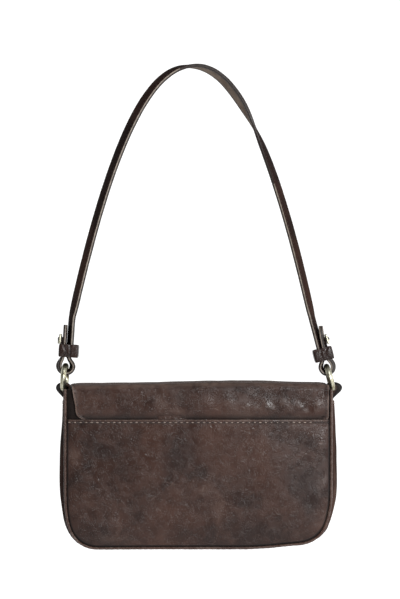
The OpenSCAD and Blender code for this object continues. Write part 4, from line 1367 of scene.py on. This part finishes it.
# The keeper's section from its lower to its upper rim, as shares of its height and of its wall
KEEPER_SECTION = (
    (0, 0.35), (0.08, 0.12), (0.2, 0.02), (0.35, 0), (0.5, 0), (0.65, 0), (0.8, 0.02),
    (0.92, 0.12), (1, 0.35), (1, 0.8), (0.9, 1), (0.5, 1), (0.1, 1), (0, 0.8),
)
KEEPER_LOW = {LEFT: 7.8 * MM, RIGHT: 5.4 * MM}
KEEPER_SHIFT = {LEFT: -1.8 * MM, RIGHT: 0}
KEEPER_CROSS = {LEFT: 0.22, RIGHT: 0.2}


def keeper_folds(grid, place_u, u_share, v_share):
    """Depth of the two crossed folds that pinch a keeper's broad face, with painted highlights on their
    ridges and the inner end and painted shade in their creases.
    """
    slope = 0.42
    across = np.abs(v_share)
    cross = np.maximum(fade(place_u - v_share * slope, 0.08), fade(place_u + v_share * slope, 0.08))
    cross = cross * smooth((1.05 - across) / 0.4) * np.clip(0.8 + 0.6 * ripple(grid, 2.2 * MM, 55), 0, 1.2)
    ridge = fade(np.abs(place_u) - across * slope - 0.17, 0.1) * fade(across - 0.3, 0.5)
    line = fade(place_u + 0.4, 0.07)
    block = smooth((-0.45 - place_u) / 0.08)
    rim = fade(across - 0.74, 0.07)
    dent = (0.7 * cross - 0.5 * ridge + 0.3 * rim + 0.8 * line) * MM * (1 - u_share**4)
    return dent, 0.8 * ridge + 0.3 * block - 0.7 * cross - 0.5 * rim - 0.9 * line


def build_keeper(side):
    """A leather keeper wrapped round the strap, pinched by two crossed folds on its broad faces."""
    name = f"keeper_{SIDES[side]}"
    height, wall, inner_u, slack = 12.0 * MM, 1.6 * MM, 6.77 * MM, 2.0 * MM
    half_u = (2 * inner_u + slack) / 2 + wall
    middle_u = KEEPER_SHIFT[side] - slack / 2
    ring, ways = rounded_ring(half_u, STRAP_W / 2 + 0.4 * MM + wall, 2.2 * MM, 96)
    rows = []
    for share, depth in KEEPER_SECTION:
        u_y = ring - ways * depth * wall
        v = np.full(len(ring), KEEPER_LOW[side] + share * height)
        rows.append(np.c_[u_y[:, 0] + middle_u, u_y[:, 1], v])
    grid = np.array(rows)
    depths = np.array([depth for _, depth in KEEPER_SECTION])[:, None]
    face = ways[:, 1] ** 2 * (depths < 0.3)
    u_share = (grid[..., 0] - middle_u) / half_u
    v_share = (grid[..., 2] - KEEPER_LOW[side]) / height * 2 - 1
    dent, rubbing_and_painted_light = keeper_folds(grid, u_share - KEEPER_CROSS[side], u_share, v_share)
    grid[..., 1] -= np.sign(grid[..., 1]) * dent * face
    grid[..., 0] += ripple(grid, 7 * MM, 51 + side) * 0.15 * MM
    # Rubbed rims, with the folds' painted highlights and painted shade on the broad faces.
    wear = np.where((depths > 0.05) & (depths < 0.3), 0.3, 0.045) + rubbing_and_painted_light * face
    placed = end_place(side, np.concatenate([grid, grid[:1]]))
    wear = np.concatenate([wear, wear[:1]])
    obj = grid_object(name + "_leather", placed, [material("Strap Leather")], ring=True, wear=wear)
    merge(obj)
    place(obj, "strap", "strap_leather", name)


def strip_section(flat):
    """A strip's rounded section, from shares of its half width where its faces are flat."""
    half = [(-1, -0.5), (-0.93, -0.95), *((a, -1) for a in flat), (0.93, -0.95), (1, -0.5)]
    return half + [(-a, -t) for a, t in half]


def folded_strip(path, middle_y, half_w, half_t, section):
    """Points of a leather strip whose section follows a course of pairs across and up."""
    spots = np.c_[path[:, 0], np.full(len(path), middle_y), path[:, 1]]
    along = unit(np.gradient(spots, axis=0))
    out = np.c_[-along[:, 2], np.zeros(len(along)), along[:, 0]]
    return np.array([
        [spot + np.array([0, a * half_w, 0]) + way * t * half_t for a, t in section]
        for spot, way in zip(spots, out)
    ])


def build_chape(side):
    """The leather folded round a buckle's bar, slotted for the prong."""
    name = f"chape_{SIDES[side]}"
    bar = np.array([LAY_U + STRAP_PLY + 2.55 * MM, 24.6 * MM])
    mean_r, half_t, slot, half_w = 1.75 * MM, 0.66 * MM, 1.3 * MM, 6.0 * MM
    foot = [(-mean_r, v * MM) for v in (-8.4, -8.1, -7, -5.5, -4, -3, -2, -1)]
    fold = [(mean_r * math.cos(a), mean_r * math.sin(a)) for a in np.radians(np.linspace(180, -150, 25))]
    nodes = (name,)
    for part, low_y, high_y, course in (
        ("near", -half_w, -slot, foot + fold),
        ("far", slot, half_w, foot + fold),
        ("bridge", -1.25 * MM, 1.25 * MM, foot[:5]),
    ):
        middle_y, half = (low_y + high_y) / 2, (high_y - low_y) / 2
        grid = folded_strip(np.array(course) + bar, middle_y, half, half_t, strip_section((0,)))
        leather = [material("Strap Leather")]
        strip = grid_object(f"{name}_{part}", end_place(side, grid), leather, ring=True, capped=True)
        merge(strip)
        place(strip, "strap", "strap_leather", *nodes)
        nodes = ()


def merge(obj, distance=0.002 * MM):
    """Joins points that lie in one place and turns all faces outwards."""
    made = bmesh.new()
    made.from_mesh(obj.data)
    bmesh.ops.remove_doubles(made, verts=made.verts, dist=distance)
    bmesh.ops.recalc_face_normals(made, faces=made.faces)
    made.to_mesh(obj.data)
    made.free()
    obj.data.update()
    shade(obj)


def build_ring(side):
    """A cast ring of round wire, a little uneven from tumbling."""
    name = f"ring_{SIDES[side]}"
    joint = JOINTS[name + "_turn"]
    axis = Vector(joint["axis"]).normalized()
    turn = np.array(Vector((1, 0, 0)).rotation_difference(axis).to_matrix())
    around = np.radians(np.linspace(0, 360, 121)[:-1])
    section = np.radians(np.linspace(0, 360, 29)[:-1])
    rows, middle = [], []
    for a in np.append(around, around[0]):
        reach = RING_R + WIRE_R * np.cos(section)
        rows.append(np.c_[WIRE_R * np.sin(section), reach * math.sin(a), reach * math.cos(a)])
        middle.append([[0, RING_R * math.sin(a), RING_R * math.cos(a)]])
    grid = np.array(rows)
    away = unit(grid - np.array(middle))
    grid = grid - away * (0.05 * MM * (1 + ripple(grid, 5 * MM, 71 + side)))[..., None]
    placed = grid @ turn.T + np.array(joint["pos_m"])
    obj = grid_object(name + "_cast", placed, [material("Antique Brass")], ring=True)
    merge(obj)
    place(obj, name, "antique_brass", name)


# The ring tabs' sewn end, their bulge round the wire and their size
TAB_FOOT_Z = -334.0 * MM
TAB_TOP_Z = -313.5 * MM
TAB_BULGE = {LEFT: 0.6 * MM, RIGHT: 2.0 * MM}
TAB_HALF_W = 5.5 * MM
TAB_HALF_T = {LEFT: 1.15 * MM, RIGHT: 1.45 * MM}
TAB_TWIST = math.radians(24)


def tab_path(bulge):
    """The middle line of a ring tab, outwards and up from the bag's middle, with its outer side bulged."""
    loop_x, loop_z, mean_r = 127.0 * MM, -303.75 * MM, 4.2 * MM
    inner_x, outer_x = 122.3 * MM, 124.5 * MM
    rise = np.linspace(TAB_FOOT_Z, TAB_TOP_Z, 6)
    points = [(inner_x, z) for z in rise] + [(inner_x + 0.1 * MM, TAB_TOP_Z + 3 * MM)]
    for a in np.radians(np.linspace(208, -38, 26)):
        reach = mean_r + bulge * max(math.cos(a - 0.35), 0)
        points.append((loop_x + reach * math.cos(a), loop_z + mean_r * math.sin(a)))
    points += [(loop_x + 0.6 * MM, TAB_TOP_Z + 3.5 * MM)] + [(outer_x, z) for z in rise[::-1]]
    return np.array(points)


def build_ring_tab(side):
    """A leather tab folded round the ring and sewn inside the gusset's top."""
    name = f"ring_tab_{SIDES[side]}"
    section = strip_section((-0.5, 0, 0.5))
    grid = folded_strip(tab_path(TAB_BULGE[side]), 0, TAB_HALF_W, TAB_HALF_T[side], section)
    rise = RING_R - np.sqrt(RING_R**2 - grid[..., 1] ** 2)
    near = smooth((grid[..., 2] - TAB_TOP_Z + 0.5 * MM) / (9 * MM))
    lean = abs(JOINTS[f"ring_{SIDES[side]}_turn"]["axis"][2])
    grid[..., 2] += rise * near
    grid[..., 0] += (grid[..., 1] * math.sin(TAB_TWIST) - rise * lean) * near
    grid[..., 0] += ripple(grid, 8 * MM, 81 + side) * 0.12 * MM
    wear = np.array([0.3 if abs(a) > 0.9 else 0.1 for a, _ in section]) * np.ones((len(grid), 1))
    wear = np.maximum(wear, 0.4 * (near > 0.7) * np.clip(0.4 + ripple(grid, 5 * MM, 82), 0, 1))
    # The fold's outer faces are painted much darker.
    wear = np.where([t > 0.4 for _, t in section], -0.9, wear)
    grid[..., 0] = MIDDLE_X + side * grid[..., 0]
    obj = grid_object(name + "_leather", grid, [material("Body Leather")], ring=True, capped=True, wear=wear)
    merge(obj)
    place(obj, "bag", "body_leather", name)


# Lining

LINING_R = CORNER_R - 2 * MM


def lining_sheet(name, side, node, seed):
    """One face of the lining, a twill sheet with soft wrinkles and a turned hem."""
    low, high = corners(node)
    half = (high[0] - low[0]) / 2
    flat = flat_sheet(*outline_rows(high[2], low[2], half, LINING_R, 4 * MM, 8), 58)
    x, z = flat[..., 0], flat[..., 2]
    inset = edge_distance(x, z, half, low[2], LINING_R)
    inner = high[1] if side == BACK else -low[1]
    wrinkles = (0.5 * ripple(flat, (30 * MM, 1, 60 * MM), seed) + 0.25 * ripple(flat, 14 * MM, seed + 1)) * MM
    inward = np.clip(wrinkles * (1 - fade(inset, 6 * MM)), -0.1 * MM, 0.9 * MM)
    grid = settle(np.stack([x + MIDDLE_X, side * (np.full_like(x, -inner) - inward), z], -1))
    if side == BACK:
        grid = grid[:, ::-1]
    obj = grid_object(name, grid[::-1], [material("Lining Twill")])
    thicken(obj, high[1] - low[1])
    return place(obj, "bag", "lining_fabric", node)


def lining_strip():
    """The lining of the gusset and base."""
    low, high = LINING_GUSSET_LOW, LINING_GUSSET_HIGH
    half, wall = (high[0] - low[0]) / 2, 0.8 * MM
    heights, halves = outline_rows(high[2], low[2], half, LINING_R, 5 * MM, 8)
    left = np.c_[-halves, heights]
    floor = np.linspace(-halves[-1], halves[-1], 44)[1:-1]
    floor = np.c_[floor, np.full(len(floor), low[2])]
    course = np.concatenate([left, floor, left[::-1] * (-1, 1)])
    depth = np.linspace(low[1], high[1], 18)
    grid = np.array([[(x, y, z) for y in depth] for x, z in course])
    middle = np.array([0, 0, high[2]])
    inward = unit(middle - grid * (1, 0, 1))
    grid = grid + inward * (wall + np.clip(0.4 * MM * ripple(grid, 22 * MM, 63), 0, 1))[..., None]
    grid[..., 0] += MIDDLE_X
    grid = settle(grid)
    obj = grid_object("lining_gusset_cloth", grid[:, ::-1], [material("Lining Twill")])
    thicken(obj, wall)
    return place(obj, "bag", "lining_fabric", "lining_gusset")


def settled_board(name, follow=settle, body="bag"):
    """A stiffening board that follows the leather as it hangs."""
    node, span = FRAME["nodes"][name], 7 * MM
    low, high = corners(name)
    made = bmesh.new()
    made.from_mesh(node.data)
    made.transform(node.matrix_world)
    for way, first, last in ((Vector((1, 0, 0)), low[0], high[0]), (Vector((0, 0, 1)), low[2], high[2])):
        for spot in np.arange(first + span, last, span):
            parts = made.verts[:] + made.edges[:] + made.faces[:]
            bmesh.ops.bisect_plane(made, geom=parts, plane_co=way * spot, plane_no=way)
    mesh = bpy.data.meshes.new(name + "_sheet")
    made.to_mesh(mesh)
    made.free()
    mesh.vertices.foreach_set("co", follow(np.array([v.co for v in mesh.vertices])).ravel())
    mesh.update()
    obj = new_object(name + "_sheet", mesh, [material("Stiffening Board")])
    shade(obj)
    return place(obj, body, "stiffener_board", name)


def inner_pocket_sheet():
    """The slip pocket inside, which gapes a little at its mouth."""
    low, high = INNER_POCKET_LOW, INNER_POCKET_HIGH
    x, z = np.meshgrid(np.linspace(low[0], high[0], 46), np.linspace(high[2], low[2], 28))
    flat = np.stack([x, np.zeros_like(x), z], -1)
    down = (high[2] - z) / (high[2] - low[2])
    middle = 1 - ((x - MIDDLE_X) / ((high[0] - low[0]) / 2)) ** 2
    gape = 1.6 * MM * middle * (1 - down) ** 2 + 0.4 * MM * (1 + ripple(flat, 24 * MM, 64)) * middle
    grid = np.stack([x, high[1] + gape, z], -1)
    obj = grid_object("inner_pocket_cloth", grid[::-1, ::-1], [material("Lining Twill")])
    thicken(obj, high[1] - low[1])
    place(obj, "bag", "lining_fabric", "inner_pocket")
    hem = [grid[np.abs(high[2] - drop - grid[:, 0, 2]).argmin()] for drop in (2.5 * MM, 8 * MM)]
    raised = np.array([0, 0.15 * MM, 0])
    rows = [row + raised for row in (*hem, grid[:, 1], grid[:, -2])]
    stitches = stitch("inner_pocket_stitches", rows, "Dark Thread", 3.2 * MM, 0.25 * MM)
    place(stitches, "bag", "lining_fabric")


# Operators


class BAG_OT_stage(bpy.types.Operator):
    """Sets up the pale floor, the soft lights and the camera."""

    bl_idname = "bag.stage"
    bl_label = "Stage"

    def execute(self, context):
        stage = context.scene.bag_stage
        context.scene.view_settings.view_transform = "Standard"
        camera = bpy.data.cameras.new("Camera")
        camera.sensor_width = 36
        camera.lens = camera.sensor_width * stage.distance / stage.view_height
        camera_object = bpy.data.objects.new("Camera", camera)
        camera_object.location = (stage.centre_x, -stage.distance, stage.centre_z)
        camera_object.rotation_euler = (math.radians(90), 0, 0)
        context.scene.collection.objects.link(camera_object)
        context.scene.camera = camera_object
        self.add_floor(stage)
        self.add_lights(stage)
        world = bpy.data.worlds.new("Studio")
        world.use_nodes = True
        world.node_tree.nodes["Background"].inputs[0].default_value = (1, 1, 1, 1)
        world.node_tree.nodes["Background"].inputs[1].default_value = 0.32
        context.scene.world = world
        return {"FINISHED"}

    def add_floor(self, stage):
        """A round floor that sweeps up into a wall on all sides."""
        floor_z = CAD_BOX[0][2] - stage.floor_drop
        floor_r, sweep_r, wall_h = 4.0, 1.5, 3.0
        profile = [(0.001, 0), (1.0, 0), (2.5, 0), (floor_r, 0)]
        for a in np.radians(np.linspace(0, 90, 10))[1:]:
            profile.append((floor_r + sweep_r * math.sin(a), sweep_r * (1 - math.cos(a))))
        profile.append((floor_r + sweep_r, sweep_r + wall_h))
        turns = np.radians(np.linspace(0, 360, 97)[:-1])
        grid = np.array([
            [(r * math.cos(a), r * math.sin(a), floor_z + h) for a in turns] for r, h in profile
        ])
        made, tree, shader, spot = new_material("Pale Floor")
        parts = add_node(tree, "ShaderNodeSeparateXYZ", {0: spot}).outputs
        behind = plus(tree, parts[1], times(tree, parts[0], 0.6))
        glow = spread(tree, behind, -3.2, 0.5, 0.08, 0.9)
        tree.links.new(glow, shader.inputs["Emission Strength"])
        shader.inputs["Base Color"].default_value = (0.35, 0.35, 0.35, 1)
        shader.inputs["Roughness"].default_value = 0.9
        shader.inputs["Emission Color"].default_value = (1, 1, 1, 1)
        floor = grid_object("floor", grid, [made], ring=True)

    def add_lights(self, stage):
        """Soft lights above, to the right and beside the camera."""
        aim = Vector((stage.centre_x, 0, stage.centre_z - 0.1))
        for name, spot, size, power in (
            ("key_light", (0.5, -1.3, 1.1), 0.6, 9),
            ("sheen_light", (0.7, -2.0, 0.08), 0.45, 34),
            ("right_light", (1.0, -0.2, -0.2), 0.5, 3),
        ):
            light = bpy.data.lights.new(name, "AREA")
            light.size = size
            light.energy = power
            obj = bpy.data.objects.new(name, light)
            obj.location = spot
            obj.visible_camera = False
            obj.rotation_euler = (aim - Vector(spot)).to_track_quat("-Z", "Y").to_euler()
            bpy.context.scene.collection.objects.link(obj)


class BAG_OT_body(bpy.types.Operator):
    """Builds the back, the front, the pocket and the gusset with their stitches."""

    bl_idname = "bag.body"
    bl_label = "Body"

    def execute(self, context):
        inset = context.scene.bag_stitching.inset
        sunk, pocket_top = 0.7 * MM, POCKET_HIGH[2]
        back_y = PANEL_LOW[1] + sunk
        body_panel("back_panel_leather", BACK, back_y, PANEL_HIGH[2], 11, "back_panel")
        body_panel("front_panel_leather", FRONT, FRONT_HIGH[1], FRONT_HIGH[2], 12, "front_panel")
        grid = body_panel(
            "back_pocket_leather", BACK, POCKET_LOW[1], pocket_top, 13, "back_pocket_panel", hem=inset
        )
        row = np.abs(grid[:, 0, 2] - (pocket_top - inset)).argmin()
        pocket_row = grid[row, 1:-1] + np.array([0, -0.05 * MM, 0])
        place(stitch("pocket_stitches", [pocket_row]), "bag", "body_leather")
        # Dark beads between the stitches, painted shade in the stitch holes.
        half_pitch = np.array([context.scene.bag_stitching.pitch / 2, 0.1 * MM, 0])
        place(stitch("pocket_holes", [pocket_row[:-1] + half_pitch], "Dark Thread"), "bag", "body_leather")
        self.add_gusset_stitches(context)
        return {"FINISHED"}

    def add_gusset_stitches(self, context):
        """Rows along the gusset's top edges and round the sewn ends of the ring tabs."""
        grid, course, y = build_gusset()
        inset = context.scene.bag_stitching.inset
        tab_stitched, tab_half = 18 * MM, 4.4 * MM
        falls = GUSSET_HIGH[2] - course[:40, 1]
        row, foot = (np.abs(falls - fall).argmin() for fall in (inset, tab_stitched))
        columns = [np.abs(y - edge).argmin() for edge in (-tab_half, tab_half)]
        paths = []
        for side in (LEFT, RIGHT):
            lift = np.array([side * 0.12 * MM, 0, 0])
            rows = (row, foot) if side == LEFT else (len(grid) - 1 - row, len(grid) - 1 - foot)
            paths.append(grid[rows[0], 1:-1] + lift)
            span = slice(min(rows), max(rows) + 1)
            paths += [grid[span, column] + lift for column in columns]
            paths.append(grid[rows[1], columns[0] : columns[1] + 1] + lift)
        place(stitch("gusset_stitches", paths), "bag", "body_leather")


class BAG_OT_piping(bpy.types.Operator):
    """Runs a corded piping along both seams."""

    bl_idname = "bag.piping"
    bl_label = "Piping"

    def execute(self, context):
        for side, name in ((BACK, "piping_back"), (FRONT, "piping_front")):
            path = seam_path(side, PIPING_Y, SEAM_OUT, PIPING_HIGH[2])
            values = {
                "Radius": PIPING_R,
                "Swell": 0.1,
                "Pitch": context.scene.bag_stitching.pitch,
                "Step": 1.5 * MM,
                "Material": material("Piping Leather"),
            }
            obj = grow(name + "_cord", [path], "Piping Cord", piping_tree, values)
            place(obj, "bag", "piping_leather", name)
        return {"FINISHED"}


class BAG_OT_flap(bpy.types.Operator):
    """Builds the flap in one piece with its sewn end, its lining and their stitches."""

    bl_idname = "bag.flap"
    bl_label = "Flap"

    def execute(self, context):
        step = context.scene.bag_shape.mesh_step
        inset = context.scene.bag_stitching.inset
        course = flap_course(step)
        count = round((FLAP_HIGH[0] - FLAP_LOW[0]) / step)
        grid, out, wear = flap_surface(course, count, 21)
        leather = [material("Body Leather"), material("Edge Paint")]
        flap = grid_object("flap_leather", grid, leather, wear=wear)
        on_top = np.repeat(smooth((course[:, 3:4] - 0.5) / 0.4), count, 1)
        add_mask(flap.data, "dull", on_top.ravel())
        thicken(flap, PLY, rim=1)
        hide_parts("flap_outer", "flap_yoke")
        bend_over_hinge(flap)
        self.add_lining(step)
        self.add_stitches(course, grid, out, 0.75 * inset)
        return {"FINISHED"}

    def add_lining(self, step):
        """The flap's lining, just inside its outer leather."""
        course = flap_course(step, 1.5 * MM)
        start = JOINTS["flap_open"]["pos_m"][1] + 0.5 * MM
        inside = course[(course[:, 2] >= 0) & (course[:, 0] > start)]
        across = np.linspace(-1, 1, 60)
        wall = 0.8 * MM
        depth = FLAP_HIGH[1] - FLAP_LINING_HIGH[1] + wall
        grid = np.array([
            [(MIDDLE_X + half * a, y - out_y * depth, z - out_z * depth) for a in across]
            for y, z, out_y, out_z, half in inside
        ])
        sink_crown(grid, 16 * MM)
        lining = grid_object("flap_lining_cloth", grid[:, ::-1], [material("Lining Twill")])
        thicken(lining, wall)
        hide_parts("flap_lining")
        bend_over_hinge(lining)

    def add_stitches(self, course, grid, out, inset):
        """Rows down both sides of the flap and along its lower edge in front."""
        left, right = flap_reach(course)
        paths = []
        for reach, sign in ((left, -1), (right, 1)):
            path = []
            for index, row in enumerate(course):
                foot = row[1] - (YOKE_LOW[2] if row[2] < -0.5 else FLAP_LOW[2])
                if abs(row[2]) > 0.5 and foot < inset:
                    continue
                x = MIDDLE_X + sign * (reach[index] - inset)
                spot = int(np.abs(grid[index, :, 0] - x).argmin())
                face = grid[index, spot] + out[index, 0] * 0.1 * MM
                path.append((x, face[1], face[2]))
            paths.append(np.array(path))
        rows = [i for i, row in enumerate(course) if row[2] > 0.5]
        index = min(rows, key=lambda i: abs(course[i, 1] - FLAP_LOW[2] - inset))
        paths.append(grid[index, 4:-4] + out[index, 0] * 0.1 * MM)
        stitches = stitch("flap_stitches", paths, "Dark Thread", 3.6 * MM, 0.36 * MM)
        bend_over_hinge(stitches)


class BAG_OT_lining(bpy.types.Operator):
    """Builds the twill lining and the pocket inside."""

    bl_idname = "bag.lining"
    bl_label = "Lining"

    def execute(self, context):
        lining_sheet("lining_back_cloth", BACK, "lining_back", 61)
        lining_sheet("lining_front_cloth", FRONT, "lining_front", 62)
        lining_strip()
        inner_pocket_sheet()
        return {"FINISHED"}


class BAG_OT_strap(bpy.types.Operator):
    """Builds the strap's two plies and the stitches that join them."""

    bl_idname = "bag.strap"
    bl_label = "Strap"

    def execute(self, context):
        face, underside = material("Strap Face"), material("Strap Underside")
        strap_ply("strap_leather", 1, face, "strap_leather", "strap_outer", 41)
        strap_ply("strap_underside", -1, underside, "strap_underside", "strap_lining", 43)
        stitching = context.scene.bag_stitching
        pitch, radius = stitching.strap_pitch, stitching.strap_thread
        stitches = stitch("strap_stitches", strap_rows(), "Dark Thread", pitch, radius)
        place(stitches, "strap", "strap_leather")
        return {"FINISHED"}


class BAG_OT_strap_ends(bpy.types.Operator):
    """Builds the keepers, the chapes, the rings and the tabs that hold them."""

    bl_idname = "bag.strap_ends"
    bl_label = "Strap Ends"

    def execute(self, context):
        for side in (LEFT, RIGHT):
            build_keeper(side)
            build_ring(side)
            build_ring_tab(side)
            build_chape(side)
        return {"FINISHED"}


class BAG_OT_hardware(bpy.types.Operator):
    """Finishes the buckles, prongs, snap and boards."""

    bl_idname = "bag.hardware"
    bl_label = "Hardware"

    def execute(self, context):
        for name, node in FRAME["nodes"].items():
            if name.startswith(("buckle", "prong", "snap")):
                node.data.materials.clear()
                node.data.materials.append(material("Antique Brass"))
        for name in ("back_board", "front_board", "base_board"):
            settled_board(name)
        settled_board("flap_board", sink_crown, "flap")
        return {"FINISHED"}


class BAG_PT_panel(bpy.types.Panel):
    """Lists the bag's sizes, colours and operators."""

    bl_idname = "BAG_PT_panel"
    bl_label = "Baguette Bag"
    bl_space_type = "VIEW_3D"
    bl_region_type = "UI"
    bl_category = "Bag"

    def draw(self, context):
        for attribute, settings_class in GROUPS.items():
            settings = getattr(context.scene, attribute)
            box = self.layout.box()
            for name in settings_class.__annotations__:
                box.prop(settings, name)
        for operator in OPERATORS:
            self.layout.operator(operator.bl_idname)


OPERATORS = (
    BAG_OT_stage,
    BAG_OT_body,
    BAG_OT_piping,
    BAG_OT_flap,
    BAG_OT_lining,
    BAG_OT_strap,
    BAG_OT_strap_ends,
    BAG_OT_hardware,
)
CLASSES = (*GROUPS.values(), *OPERATORS, BAG_PT_panel)


def register():
    """Registers the settings, operators and panel."""
    for item in CLASSES:
        bpy.utils.register_class(item)
    for attribute, settings_class in GROUPS.items():
        setattr(bpy.types.Scene, attribute, bpy.props.PointerProperty(type=settings_class))


def unregister():
    """Removes what register added."""
    for attribute in GROUPS:
        delattr(bpy.types.Scene, attribute)
    for item in reversed(CLASSES):
        bpy.utils.unregister_class(item)


def main():
    """Builds the whole bag and its stage."""
    register()
    bpy.ops.bag.stage()
    bpy.ops.bag.body()
    bpy.ops.bag.piping()
    bpy.ops.bag.flap()
    bpy.ops.bag.lining()
    bpy.ops.bag.strap()
    bpy.ops.bag.strap_ends()
    bpy.ops.bag.hardware()


if __name__ == "__main__":
    main()
